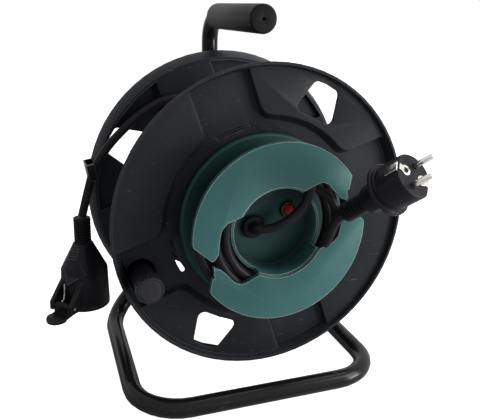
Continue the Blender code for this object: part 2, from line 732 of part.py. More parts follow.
def make_bracket(spigot_end, axle_rear):
    """Saddle in front of the upright, with cheeks beside it and a spigot around the axle."""
    front_of_tube = UPRIGHT_Y - TUBE_RADIUS
    back = front_of_tube - GAP
    plate_front = back - BRACKET_PLATE
    height = BRACKET_TOP_Z - BRACKET_BOTTOM_Z
    plate = box_mesh((BRACKET_WIDTH, BRACKET_PLATE, height),
                     (0, (plate_front + back) / 2, (BRACKET_TOP_Z + BRACKET_BOTTOM_Z) / 2))
    bracket = add("axle_bracket", plate, "dark_plastic", BASE)
    cheek_front = plate_front + OVERLAP
    cheek_back = back + CHEEK_REACH
    inset = 0.0005
    cheek_top = BRACKET_TOP_Z - inset
    cheeks = box_mesh((BRACKET_WIDTH - 2 * inset, cheek_back - cheek_front, cheek_top - CHEEK_BOTTOM_Z),
                      (0, (cheek_front + cheek_back) / 2, (cheek_top + CHEEK_BOTTOM_Z) / 2))
    relief_low = BRACKET_BOTTOM_Z - OVERLAP
    relief = box_mesh((BRACKET_WIDTH + 2 * OVERLAP, 2 * BEND_RELIEF, BEND_RELIEF_Z - relief_low),
                      (0, back, (BEND_RELIEF_Z + relief_low) / 2))
    cut(bracket, cutter("bracket_relief", relief, BASE))
    join(bracket, cutter("bracket_cheeks", cheeks, BASE))
    spigot_front = spigot_end - GAP
    spigot = rod(SPIGOT_RADIUS, -plate_front - OVERLAP, spigot_front)
    axle_seat = rod(AXLE_RADIUS + GAP, axle_rear - GAP, spigot_front + OVERLAP)
    join(bracket, turned_cutter("bracket_spigot", spigot, FACE))
    cut(bracket, turned_cutter("bracket_bore", axle_seat, FACE))
    groove = rod(TUBE_RADIUS + 2 * GAP, CHEEK_BOTTOM_Z - OVERLAP, BRACKET_TOP_Z + OVERLAP)
    cut(bracket, turned_cutter("bracket_groove", groove, BASE, (0, UPRIGHT_Y, 0), steps=24))
    slot = box_mesh((2 * (TUBE_RADIUS + 2 * GAP), CHEEK_REACH, BRACKET_TOP_Z - CHEEK_BOTTOM_Z + 2 * OVERLAP),
                    (0, UPRIGHT_Y + CHEEK_REACH / 2, (BRACKET_TOP_Z + CHEEK_BOTTOM_Z) / 2))
    cut(bracket, cutter("bracket_mouth", slot, BASE))
    reach = BRACKET_WIDTH / 2 + OVERLAP
    bolt_y = UPRIGHT_Y
    for i, z in enumerate(BOLT_HEIGHTS):
        place = (0, bolt_y, z)
        across = (0, math.pi / 2, 0)
        hole = rod(BOLT_RADIUS + GAP, -reach, reach)
        cut(bracket, turned_cutter(f"bolt_hole_{i + 1}", hole, BASE, place, across, steps=16))
        seat = BRACKET_WIDTH / 2 + GAP
        shank = [(0, seat + BOLT_HEAD), (BOLT_HEAD_RADIUS * 0.7, seat + BOLT_HEAD),
                 (BOLT_HEAD_RADIUS, seat + BOLT_HEAD * 0.5), (BOLT_HEAD_RADIUS, seat), (BOLT_RADIUS, seat),
                 (BOLT_RADIUS, -seat - NUT_HEIGHT - 0.001), (0, -seat - NUT_HEIGHT - 0.001)]
        turned(f"bracket_bolt_{i + 1}", shank, "steel", BASE, place, across, steps=16)
        nut_bore = (BOLT_RADIUS + GAP) / math.cos(math.pi / 6)
        turned(f"bracket_nut_{i + 1}", ring(nut_bore, BOLT_HEAD_RADIUS, -seat - NUT_HEIGHT, -seat),
               "steel", BASE, place, across, steps=6, closed=True)
    return bracket


# ---- frame ----------------------------------------------------------------------------------
def frame_route():
    corners = [(FOOT_REAR_RIGHT_X, FOOT_END_Y, FOOT_Z),
               (FOOT_FRONT_RIGHT_X, FRONT_BAR_Y, FOOT_Z),
               (FOOT_FRONT_LEFT_X, FRONT_BAR_Y, FOOT_Z),
               (FOOT_REAR_LEFT_X, FOOT_REAR_LEFT_Y, FOOT_Z),
               (0, UPRIGHT_Y, DIAGONAL_TOP_Z),
               (0, UPRIGHT_Y, HANDLE_Z),
               (0, GRIP_FRONT_Y + GRIP_END_WALL + GAP, HANDLE_Z)]
    bends = [FRONT_BEND, FRONT_BEND, REAR_BEND, UPRIGHT_BEND, HANDLE_BEND]
    route = [corners[0]]
    for i, radius in enumerate(bends):
        route += corner_arc(corners[i], corners[i + 1], corners[i + 2], radius, BEND_STEPS)
    route.append(corners[-1])
    return route


def make_frame():
    piece = add("frame_tube", tube_curve(frame_route(), TUBE_RADIUS, 4), "black_paint", BASE)
    tube = curve_to_mesh(piece)
    tube.data.materials.clear()
    tube.data.materials.append(own_finish("black_paint", "frame_tube_solid"))
    foot_end = Vector((FOOT_REAR_RIGHT_X, FOOT_END_Y, FOOT_Z))
    along = (Vector((FOOT_FRONT_RIGHT_X, FRONT_BAR_Y, FOOT_Z)) - foot_end).normalized()
    lean = along.to_track_quat("Z", "Y").to_euler()
    bore = TUBE_RADIUS - TUBE_WALL
    cut(tube, turned_cutter("foot_bore", rod(bore, -OVERLAP, END_CAP_DEPTH + GAP), BASE, foot_end, lean, 16))
    for i, z in enumerate(BOLT_HEIGHTS):
        hole = rod(BOLT_RADIUS + GAP, -TUBE_RADIUS - OVERLAP, TUBE_RADIUS + OVERLAP)
        cut(tube, turned_cutter(f"tube_hole_{i + 1}", hole, BASE, (0, UPRIGHT_Y, z), (0, math.pi / 2, 0), 12))
    cap = TUBE_RADIUS
    plug = bore - 2 * GAP
    profile = [(0, END_CAP_DEPTH), (plug, END_CAP_DEPTH), (plug, -GAP), (cap, -GAP),
               (cap, -END_CAP_WALL * 0.5), (cap * 0.85, -END_CAP_WALL), (0, -END_CAP_WALL)]
    turned("foot_end_cap", profile, "dark_plastic", BASE, foot_end, lean, steps=20)


def make_grip():
    """Rubber sleeve on the handle, closed in front but for a vent."""
    length = GRIP_REAR_Y - GRIP_FRONT_Y
    inner = TUBE_RADIUS + GAP
    edge = GRIP_EDGE
    profile = [(VENT_RADIUS, 0), (GRIP_RADIUS - edge, 0), (GRIP_RADIUS, -edge),
               (GRIP_RADIUS, -length + 2 * edge), (GRIP_RADIUS - edge, -length), (inner, -length),
               (inner, -GRIP_END_WALL), (VENT_RADIUS, -GRIP_END_WALL)]
    turned("handle_grip", profile, "rubber", FACE, (0, HANDLE_Z, -GRIP_FRONT_Y), steps=32, closed=True)


# ---- lead bowl and storage plate ------------------------------------------------------------
def make_bowl():
    back = -WEB_SETBACK + GAP
    face = -BOWL_FACE_DEPTH
    wall = CUP_RADIUS + CUP_WALL
    chamfer = BOWL_RADIUS - BOWL_FACE_RADIUS
    profile = [(0, CUP_FLOOR), (CUP_RADIUS, CUP_FLOOR), (CUP_RADIUS, CUP_EDGE), (wall, CUP_EDGE),
               (wall, face), (BOWL_FACE_RADIUS, face), (BOWL_RADIUS, face - chamfer), (BOWL_RADIUS, back),
               (CUP_RADIUS, back), (CUP_RADIUS, CUP_FLOOR - FLOOR_WALL), (0, CUP_FLOOR - FLOOR_WALL)]
    bowl = turned("lead_bowl", profile, "dark_green", FACE, steps=48)
    holes = [circle(GROMMET_POSITION, GROMMET_NECK + GAP, 20),
             circle(BUTTON_POSITION, BEZEL_RADIUS + GAP, 20)]
    through = prisms_mesh(holes, CUP_FLOOR - FLOOR_WALL - OVERLAP, CUP_FLOOR + OVERLAP)
    cut(bowl, cutter("bowl_holes", through, FACE))


def lobe_outline():
    """Outline of one lobe of the storage plate: bore, scallops at both ends, tips and outer arc."""
    def at(radius, degrees):
        return polar(radius, math.radians(degrees))
    outer = PLATE_RADIUS
    corners = [at(outer, 36.5), at(outer, 183.5), at(0.0642, 198), at(0.0579, 193), at(0.0560, 183),
               at(0.0548, 172), at(0.0510, 165), at(PLATE_BORE, 153.6)]
    radii = [0.003, 0.004, 0.002, 0.004, 0.010, 0.008, 0.006, 0.001]
    near = [at(PLATE_BORE, 62), at(0.0463, 56.7), at(0.0550, 51), at(0.0579, 44.3), at(0.0579, 36),
            at(0.0604, 26.6), at(0.0651, 22.5), at(0.0642, 20), at(0.0715, 30.5)]
    near_radii = [0.001, 0.004, 0.006, 0.006, 0.010, 0.004, 0.001, 0.001, 0.006]
    count = 24
    outline = []
    ring_points = corners + near
    ring_radii = radii + near_radii
    total = len(ring_points)
    for i, corner in enumerate(ring_points):
        before = ring_points[i - 1]
        after = ring_points[(i + 1) % total]
        if i == 0:
            after = at(outer, 40)
        if i == 1:
            before = at(outer, 180)
        if i == 7:
            after = at(PLATE_BORE, 150)
        if i == 8:
            before = at(PLATE_BORE, 66)
        outline += corner_arc(before, corner, after, ring_radii[i], 3)
        if i == 0:
            outline += [at(outer, 41 + (179 - 41) * k / count) for k in range(count + 1)]
        if i == 7:
            outline += [at(PLATE_BORE, 149 - (149 - 67) * k / 14) for k in range(15)]
    return outline


def make_plate():
    """Two lobes over the stored lead, on a collar that continues the cup's wall."""
    wall = CUP_RADIUS + CUP_WALL
    top = PLATE_FACE - COLLAR_STEP
    plate = turned("storage_plate", ring(CUP_RADIUS, wall, CUP_EDGE + GAP, top), "green_plastic", FACE,
                   steps=48, closed=True)
    gaps = []
    for start in (153.6, 333.6):
        first, last = math.radians(start), math.radians(start + 88.4)
        wedge = arc((0, 0), wall + OVERLAP, first, last, 12)
        wedge += arc((0, 0), CUP_RADIUS - OVERLAP, last, first, 12)
        gaps.append(wedge)
    cut(plate, cutter("collar_gaps", prisms_mesh(gaps, COLLAR_EDGE, top + OVERLAP), FACE))
    lobe = lobe_outline()
    lobes = prisms_mesh([lobe, turn_outline(lobe, math.pi)], PLATE_FACE - PLATE_THICKNESS, PLATE_FACE)
    join(plate, cutter("plate_lobes", lobes, FACE))


def make_cup_fittings():
    """Grommet and cut-out in the cup's floor, with the clamp and terminals behind it."""
    x, y = GROMMET_POSITION
    seat = CUP_FLOOR + GAP
    behind = CUP_FLOOR - FLOOR_WALL - 0.003
    top = seat + GROMMET_COLLAR
    grommet = turned("lead_grommet", [(0, top), (GROMMET_RADIUS - 0.001, top), (GROMMET_RADIUS, top - 0.0012),
                                      (GROMMET_RADIUS, seat), (GROMMET_NECK, seat), (GROMMET_NECK, behind),
                                      (0, behind)], "rubber", FACE, (x, y, 0), steps=24)
    spout = tube_mesh(SPOUT_POINTS, SPOUT_RADIUS, CORD_RADIUS + SPOUT_CLEARANCE, 16)
    join(grommet, cutter("grommet_spout", spout, BASE))
    bx, by = BUTTON_POSITION
    guide = BUTTON_RADIUS + SLIDE_GAP
    body_front = CUP_FLOOR - FLOOR_WALL - GAP
    bezel_back = body_front + GAP
    bezel = ring(guide, BEZEL_RADIUS, bezel_back, CUP_FLOOR + BEZEL_RISE)
    turned("cutout_bezel", bezel, "dark_plastic", FACE, (bx, by, 0), steps=24, closed=True)
    depth = BUTTON_TRAVEL + 0.001
    body = box_mesh(CUTOUT_SIZE, (bx, by, body_front - CUTOUT_SIZE[2] / 2))
    housing = add("thermal_cutout", body, "dark_plastic", FACE)
    well = rod(BUTTON_RADIUS + SLIDE_GAP, body_front - depth, body_front + OVERLAP)
    cut(housing, turned_cutter("cutout_well", well, FACE, (bx, by, 0), steps=24))
    dome = BUTTON_RADIUS * 0.82
    stem_end = body_front - 0.0007
    profile = [(0, BUTTON_FACE), (dome, BUTTON_FACE - 0.0004), (BUTTON_RADIUS, BUTTON_FACE - 0.0014),
               (BUTTON_RADIUS, stem_end), (0, stem_end)]
    turned("reset_button", profile, "red_plastic", FACE, (bx, by, 0), steps=24)
    web = -CORE_WEB_DEPTH
    clamp_low = web + GAP
    clamp_high = behind - GAP
    clamp_size = (CLAMP_WIDTH, CLAMP_HEIGHT, clamp_high - clamp_low)
    clamp_place = (CLAMP_POSITION, y, (clamp_low + clamp_high) / 2)
    add("cord_clamp", box_mesh(clamp_size, clamp_place), "dark_plastic", FACE)
    block = box_mesh(TERMINAL_SIZE, (0, TERMINAL_POSITION, clamp_low + TERMINAL_SIZE[2] / 2))
    add("terminal_block", block, "white_plastic", FACE)


# ---- winding knob ---------------------------------------------------------------------------
def make_knob():
    """Knob on a shank that pushes back into a socket behind the front flange."""
    place = (*KNOB_PLACE, 0)
    front = FRONT_WEB_BACK - GAP
    floor = -SOCKET_DEPTH
    outer = SOCKET_RADIUS + SOCKET_WALL
    pin_hole = KNOB_PIN_RADIUS + SLIDE_GAP
    turned("knob_socket", [(SOCKET_RADIUS, front), (outer, front), (outer, floor - SOCKET_WALL),
                           (pin_hole, floor - SOCKET_WALL), (pin_hole, floor), (SOCKET_RADIUS, floor)],
           "black_plastic", FACE, place, steps=32, closed=True)
    knob_back = KNOB_FACE - KNOB_LENGTH
    shank_front = knob_back - GAP
    shank_back = shank_front - SHANK_LENGTH
    clip_front = floor - SOCKET_WALL - GAP
    pin_back = clip_front - KNOB_PIN_TAIL
    pin_front = KNOB_FACE - KNOB_PIN_INSET
    profile = [(0, pin_front), (KNOB_PIN_RADIUS, pin_front), (KNOB_PIN_RADIUS, shank_front),
               (SHANK_RADIUS, shank_front), (SHANK_RADIUS, shank_back), (KNOB_PIN_RADIUS, shank_back),
               (KNOB_PIN_RADIUS, pin_back), (0, pin_back)]
    turned("knob_shank", profile, "dark_plastic", FACE, place, steps=24)
    turned("knob_stop_clip", ring(KNOB_PIN_RADIUS + GAP, KNOB_PIN_RADIUS + STOP_CLIP_WIDTH,
                                  clip_front - STOP_CLIP_THICKNESS, clip_front),
           "steel", FACE, place, steps=20, closed=True)
    rim_back = KNOB_FACE - KNOB_HEAD
    waist = KNOB_RADIUS - KNOB_STEP
    cap_seat = KNOB_FACE - KNOB_CAP_SEAT
    profile = [(pin_hole, cap_seat), (KNOB_CAP_RADIUS + GAP, cap_seat),
               (KNOB_CAP_RADIUS + GAP, KNOB_FACE - 0.0006), (KNOB_RADIUS - 0.0010, KNOB_FACE - 0.0006),
               (KNOB_RADIUS, KNOB_FACE - 0.0016), (KNOB_RADIUS, rim_back), (waist, rim_back - 0.001),
               (waist, knob_back), (pin_hole, knob_back)]
    knob = turned("winding_knob", profile, "black_plastic", FACE, place, steps=36, closed=True)
    flutes = [circle(polar(KNOB_RADIUS + 0.0006, 2 * math.pi * i / KNOB_FLUTES), 0.0014, 10)
              for i in range(KNOB_FLUTES)]
    fluting = prisms_mesh(flutes, rim_back - OVERLAP, KNOB_FACE + OVERLAP)
    cut(knob, cutter("knob_flutes", fluting, FACE, place))
    edge = 0.0006
    profile = [(0, KNOB_FACE), (KNOB_CAP_RADIUS - edge, KNOB_FACE), (KNOB_CAP_RADIUS, KNOB_FACE - edge),
               (KNOB_CAP_RADIUS, cap_seat + GAP), (0, cap_seat + GAP)]
    turned("knob_cap", profile, "dark_plastic", FACE, place, steps=32)


# ---- cords ----------------------------------------------------------------------------------
TAIL_POINTS = [(0.0045, 0.1120, 0.0887), (-0.0200, 0.1135, 0.0925), (-0.0440, 0.1150, 0.0953),
               (-0.0662, 0.1163, 0.0925), (-0.0892, 0.1163, 0.0795), (-0.1105, 0.1163, 0.0612),
               (-0.1250, 0.1163, 0.0445), (-0.1359, 0.1163, 0.0262), (-0.1418, 0.1163, 0.0077),
               (-0.1460, 0.1168, -0.0080), (-0.1488, 0.1172, -0.0186)]
LEAD_START_POINTS = [(-0.0102, -0.0142, -0.0017), (-0.0044, -0.0170, -0.0021), (0.0029, -0.0195, 0.0013),
                     (0.0105, -0.0213, 0.0062), (0.0178, -0.0230, 0.0125), (0.0237, -0.0242, 0.0187),
                     (0.0270, -0.0248, 0.0258), (0.0280, -0.0249, 0.0300)]
LEAD_END_POINTS = [(0.0456, -0.0335, -0.0110), (0.0463, -0.0336, -0.0035), (0.0484, -0.0340, 0.0040),
                   (0.0513, -0.0362, 0.0108), (0.0547, -0.0420, 0.0162)]


def make_cords():
    spacing = 4 * CORD_RADIUS
    front = FRONT_WEB_BACK - 2 * GAP
    rear = REAR_WEB_FRONT + 2 * GAP
    inner = CORE_RADIUS + GAP
    bevel = CORD_RADIUS
    turned("cable_winding", [(inner, front), (WINDING_RADIUS - bevel, front), (WINDING_RADIUS, front - bevel),
                             (WINDING_RADIUS, rear + bevel), (WINDING_RADIUS - bevel, rear), (inner, rear)],
           "cord_rubber", FACE, steps=36, closed=True)
    add("cable_tail", tube_curve(smooth_route(TAIL_POINTS, spacing), CORD_RADIUS, 3), "cord_rubber", BASE)
    coil_low = -BOWL_FACE_DEPTH + GAP
    coil_high = PLATE_FACE - PLATE_THICKNESS - GAP
    turned("lead_coil", [(LEAD_COIL_INNER, coil_high), (LEAD_COIL_OUTER - bevel, coil_high),
                         (LEAD_COIL_OUTER, coil_high - bevel), (LEAD_COIL_OUTER, coil_low + bevel),
                         (LEAD_COIL_OUTER - bevel, coil_low), (LEAD_COIL_INNER, coil_low)],
           "cord_rubber", FACE, steps=32, closed=True)
    route = smooth_route(LEAD_START_POINTS, 2 * CORD_RADIUS)
    add("lead_start", tube_curve(route, CORD_RADIUS, 3), "cord_rubber", BASE)
    route = smooth_route(LEAD_END_POINTS, 2 * CORD_RADIUS)
    add("lead_end", tube_curve(route, CORD_RADIUS, 3), "cord_rubber", BASE)


def make_cable_clip():
    """Snap-on holder that hooks over the rear rim and around the cable that lies across it."""
    middle = Vector(TAIL_POINTS[CLIP_POINT])
    cable_run = (Vector(TAIL_POINTS[CLIP_POINT + 1]) - Vector(TAIL_POINTS[CLIP_POINT - 1])).normalized()
    frame = empty("clip_frame", BASE, middle, (0, -math.atan2(middle.z, -middle.x), 0))
    rim_edge = FLANGE_RADIUS + 2 * GAP - math.hypot(middle.x, middle.z)
    grip = CORD_RADIUS + 2 * GAP
    inside = max(rim_edge, grip)
    rear = DRUM_WIDTH - middle.y + 2 * GAP
    outline = [(-inside - CLIP_WALL, -grip - CLIP_WALL), (grip * CLIP_COVER, -grip - CLIP_WALL),
               (grip * CLIP_COVER, -grip + OVERLAP), (-inside, -grip + OVERLAP), (-inside, rear),
               (CLIP_HOOK - rim_edge, rear), (CLIP_HOOK - rim_edge, rear + CLIP_WALL),
               (-inside - CLIP_WALL, rear + CLIP_WALL)]
    clip = add("cable_clip", prisms_mesh([outline], -CLIP_LENGTH / 2, CLIP_LENGTH / 2), "dark_plastic", frame)
    tunnel = rod(grip, -CLIP_LENGTH, CLIP_LENGTH)
    lean = cable_run.to_track_quat("Z", "Y").to_euler()
    cut(clip, turned_cutter("clip_tunnel", tunnel, BASE, middle, lean, steps=20))


# ---- coupler --------------------------------------------------------------------------------
def rounded_square(width, depth, power, count=24):
    """A superellipse outline: power 2 is an ellipse, higher is squarer."""
    outline = []
    for i in range(count):
        angle = 2 * math.pi * (i + 0.5) / count
        c, s = math.cos(angle), math.sin(angle)
        outline.append((width * math.copysign(abs(c) ** (2 / power), c),
                        depth * math.copysign(abs(s) ** (2 / power), s)))
    return outline


def make_coupler():
    frame = empty("coupler_frame", BASE, COUPLER_TOP, (0, 0, COUPLER_TURN))
    sleeve = [(0, 0), (SLEEVE_RADIUS - 0.0008, 0), (SLEEVE_RADIUS, -0.0008)]
    root = SLEEVE_RADIUS - SLEEVE_SLOT_DEPTH
    pitch = (SLEEVE_LENGTH - 1.5 * SLEEVE_HEAD) / SLEEVE_SLOTS
    for i in range(SLEEVE_SLOTS):
        z = -SLEEVE_HEAD - i * pitch
        sleeve += [(SLEEVE_RADIUS, z), (root, z - 0.0004),
                   (root, z - pitch * 0.45), (SLEEVE_RADIUS, z - pitch * 0.45 - 0.0004)]
    sleeve += [(SLEEVE_RADIUS, -SLEEVE_LENGTH + GAP), (0, -SLEEVE_LENGTH + GAP)]
    turned("coupler_sleeve", sleeve, "rubber", frame, steps=12)
    rim = -COUPLER_LENGTH

    def shell(work):
        waist = COUPLER_RADIUS - 0.0005
        loft(work, [at_height(rounded_square(SLEEVE_RADIUS, SLEEVE_RADIUS, 3.2), -SLEEVE_LENGTH),
                    at_height(rounded_square(0.0098, 0.0098, 3.0), -SLEEVE_LENGTH - 0.003),
                    at_height(rounded_square(0.0215, 0.0215, 2.6), -COUPLER_SHOULDER),
                    at_height(rounded_square(waist, waist, 2.0), rim + 0.018),
                    at_height(rounded_square(COUPLER_RADIUS, COUPLER_RADIUS, 2.0), rim)])

    body = add("coupler_body", mesh_from(shell), "black_plastic", frame)
    hinge_z = rim + HINGE_RISE
    ear_inner = BARREL_LENGTH / 2 + SLIDE_GAP
    ear_outer = ear_inner + EAR_THICKNESS
    ear_front = -HINGE_REACH - BARREL_RADIUS - 0.0005
    for side, name in ((1, "right"), (-1, "left")):
        outline = [(-COUPLER_RADIUS + 0.006, rim + 0.001), (ear_front, rim + 0.001),
                   (ear_front, hinge_z + BARREL_RADIUS), (-COUPLER_RADIUS + 0.006, rim + EAR_HEIGHT)]
        span = sorted((side * ear_inner, side * ear_outer))

        def ear(work, outline=outline, span=span):
            loft(work, [[(x, y, z) for y, z in outline] for x in span])

        join(body, cutter(f"coupler_ear_{name}", mesh_from(ear), frame))
    face_low = rim + WELL_DEPTH
    face_high = face_low + SOCKET_FACE
    cut(body, turned_cutter("coupler_well", rod(WELL_RADIUS, rim - OVERLAP, face_high), frame))
    across = (0, math.pi / 2, 0)
    axis = (0, -HINGE_REACH, hinge_z)
    pin_hole = rod(HINGE_PIN_RADIUS + GAP, -ear_outer - OVERLAP, ear_outer + OVERLAP)
    cut(body, turned_cutter("ear_holes", pin_hole, frame, axis, across, steps=12))
    face = turned("coupler_face", rod(WELL_RADIUS - GAP, face_low, face_high - GAP), "dark_plastic", frame,
                  steps=32)
    holes = [circle((x, 0), PIN_RADIUS + 0.0004, 12) for x in (-PIN_SPACING / 2, PIN_SPACING / 2)]
    through = prisms_mesh(holes, face_low - OVERLAP, face_high + OVERLAP)
    cut(face, cutter("socket_holes", through, frame))
    turned("lid_hinge_pin", rod(HINGE_PIN_RADIUS, -ear_outer - 0.0006, ear_outer + 0.0006), "steel",
           frame, axis, across, steps=12)
    make_lid(frame, rim, axis, across)


def make_lid(frame, rim, axis, across):
    """Sprung lid over the socket well, with a barrel on the hinge pin and a finger tab."""
    hinge = empty("lid_hinge", frame, axis)
    y_shift = -axis[1]
    z_shift = -axis[2]
    top = rim - GAP + z_shift
    bottom = top - LID_THICKNESS
    disc = [(0, top), (COUPLER_RADIUS, top), (COUPLER_RADIUS, bottom + 0.001),
            (COUPLER_RADIUS - 0.001, bottom), (0, bottom)]
    lid = turned("coupler_lid", disc, "dark_plastic", hinge, (0, y_shift, 0), steps=40)
    barrel = rod(BARREL_RADIUS, -BARREL_LENGTH / 2, BARREL_LENGTH / 2)
    join(lid, turned_cutter("lid_barrel", barrel, hinge, (0, 0, 0), across, steps=16))
    arm_top = -HINGE_RISE - 2 * GAP
    web = box_mesh((BARREL_LENGTH - 0.0004, 1.6 * BARREL_RADIUS, HINGE_RISE + LID_THICKNESS / 2),
                   (0, -0.1 * BARREL_RADIUS, -(HINGE_RISE + LID_THICKNESS / 2) / 2))
    join(lid, cutter("lid_web", web, hinge))
    arm = box_mesh((BARREL_LENGTH - 0.0006, y_shift - 0.012, arm_top - bottom - 0.0006),
                   (0, (y_shift - 0.012) / 2, (arm_top + bottom + 0.0006) / 2))
    join(lid, cutter("lid_arm", arm, hinge))

    def tab(work):
        half = TAB_WIDTH / 2
        neck = min(half, BARREL_LENGTH / 2)
        outline = [(-neck, OVERLAP), (-neck, -TAB_NECK_LENGTH), (-half, -TAB_LENGTH + half)]
        outline += [(half * math.cos(math.pi + math.pi * i / 8), -TAB_LENGTH + half
                     + half * math.sin(math.pi + math.pi * i / 8)) for i in range(1, 8)]
        outline += [(half, -TAB_LENGTH + half), (neck, -TAB_NECK_LENGTH), (neck, OVERLAP)]
        loft(work, [[(x, y, bottom + 0.0003 + y * 0.12 + lift) for x, y in outline] for lift in (0, 0.0028)])

    join(lid, cutter("lid_tab", mesh_from(tab), hinge))
    hole = rod(HINGE_PIN_RADIUS + GAP, -BARREL_LENGTH / 2 - OVERLAP, BARREL_LENGTH / 2 + OVERLAP)
    cut(lid, turned_cutter("lid_hole", hole, hinge, (0, 0, 0), across, steps=12))
    wire_y = -COUPLER_RADIUS - SPRING_WIRE - GAP * 2
    hinge_z = rim + HINGE_RISE
    coil_radius = BARREL_RADIUS + SPRING_WIRE + SLIDE_GAP
    route = [(-0.004, wire_y, hinge_z + 0.020), (-0.004, wire_y - 0.0005, hinge_z + 0.010)]
    route += [(-0.004 + 0.0006 * i, -HINGE_REACH + coil_radius * math.cos(math.radians(a)),
               hinge_z + coil_radius * math.sin(math.radians(a)))
              for i, a in enumerate((20, 40, 60, 80))]
    add("lid_spring", tube_curve(route, SPRING_WIRE, 1), "steel", frame)


# ---- plug -----------------------------------------------------------------------------------
def make_plug():
    along = Vector(PLUG_DIRECTION).normalized()
    apart = Vector(PIN_DIRECTION)
    apart = (apart - apart.dot(along) * along).normalized()
    side = along.cross(apart)
    turn = Matrix((apart, side, along)).transposed()
    frame = empty("plug_frame", BASE, PLUG_START, turn.to_euler())
    root = PLUG_SLEEVE_RADIUS - PLUG_RIB_DEPTH
    sleeve = [(0, 0), (PLUG_SLEEVE_RADIUS - 0.0008, 0)]
    pitch = (PLUG_SLEEVE_LENGTH - 0.003) / PLUG_RIBS
    for i in range(PLUG_RIBS):
        z = 0.0006 + i * pitch
        sleeve += [(PLUG_SLEEVE_RADIUS, z), (PLUG_SLEEVE_RADIUS, z + pitch * 0.5),
                   (root, z + pitch * 0.58), (root, z + pitch * 0.92)]
    sleeve += [(PLUG_SLEEVE_RADIUS, PLUG_SLEEVE_LENGTH - 0.002), (PLUG_SLEEVE_RADIUS, PLUG_SLEEVE_LENGTH)]
    sleeve += [(0, PLUG_SLEEVE_LENGTH)]
    sleeve.reverse()
    turned("plug_sleeve", sleeve, "rubber", frame, steps=14)
    start = PLUG_SLEEVE_LENGTH + GAP
    neck = PLUG_NECK_RADIUS
    edge = 0.0012
    front = PLUG_LENGTH - GAP
    collar_front = front - PLUG_FRONT
    collar_back = collar_front - PLUG_COLLAR_WIDTH
    profile = [(0, start), (neck - 3 * edge, start), (neck - edge, start + edge), (neck, start + 3 * edge),
               (neck, collar_back - 4 * edge), (neck + 2 * edge, collar_back - 2 * edge),
               (PLUG_COLLAR_RADIUS - 3 * edge, collar_back), (PLUG_COLLAR_RADIUS, collar_back + edge),
               (PLUG_COLLAR_RADIUS, collar_front - edge), (PLUG_COLLAR_RADIUS - edge, collar_front),
               (PLUG_RADIUS, collar_front), (PLUG_RADIUS, front - edge), (PLUG_RADIUS - edge, front),
               (0, front)]
    profile.reverse()
    body = turned("plug_body", profile, "black_plastic", frame, steps=32)
    flat_low = collar_front + edge
    slab_depth = PLUG_RADIUS - PLUG_FLAT + OVERLAP
    contact_middle = front - CONTACT_SETBACK - CONTACT_SIZE[2] / 2
    for sign, name in ((1, "a"), (-1, "b")):
        slab = box_mesh((PLUG_FLAT_WIDTH, slab_depth, front + OVERLAP - flat_low),
                        (0, sign * (PLUG_FLAT + slab_depth / 2), (front + OVERLAP + flat_low) / 2))
        cut(body, cutter(f"plug_flat_{name}", slab, frame))
        contact = box_mesh(CONTACT_SIZE, (0, sign * (PLUG_FLAT + GAP + CONTACT_SIZE[1] / 2), contact_middle))
        add(f"plug_earth_contact_{name}", contact, "nickel", frame)
    pin = [(0, PIN_LENGTH), (PIN_RADIUS * 0.55, PIN_LENGTH), (PIN_RADIUS, PIN_LENGTH - 0.0018),
           (PIN_RADIUS, -PIN_ROOT), (0, -PIN_ROOT)]
    seats = [circle((x, 0), PIN_RADIUS + GAP, 16) for x in (-PIN_SPACING / 2, PIN_SPACING / 2)]
    cut(body, cutter("plug_pin_seats", prisms_mesh(seats, front - PIN_ROOT - GAP, front + OVERLAP), frame))
    for i, x in enumerate((-PIN_SPACING / 2, PIN_SPACING / 2)):
        turned(f"plug_pin_{i + 1}", pin, "nickel", frame, (x, 0, front), steps=16)


# ---- the whole reel -------------------------------------------------------------------------
def build_reel():
    make_flanges()
    washer_seat, spigot_end = make_core()
    axle_rear = make_axle(washer_seat)
    make_bracket(spigot_end, axle_rear)
    make_frame()
    make_grip()
    make_bowl()
    make_plate()
    make_cup_fittings()
    make_knob()
    make_cords()
    make_cable_clip()
    make_coupler()
    make_plug()
    bpy.context.view_layer.update()


build_reel()
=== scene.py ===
"""The looks of a cable drum on a bent tube stand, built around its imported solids.

Lengths are metres. Points of the drum side are given from the middle of the front rim (BASE): x to the
right, y back along the axle, z up. face_point() turns a radius and an angle seen from the front into one.
"""

import json
import math

import bmesh
import bpy
from bpy.props import FloatProperty, FloatVectorProperty, IntProperty, PointerProperty
from mathutils import Matrix, Vector


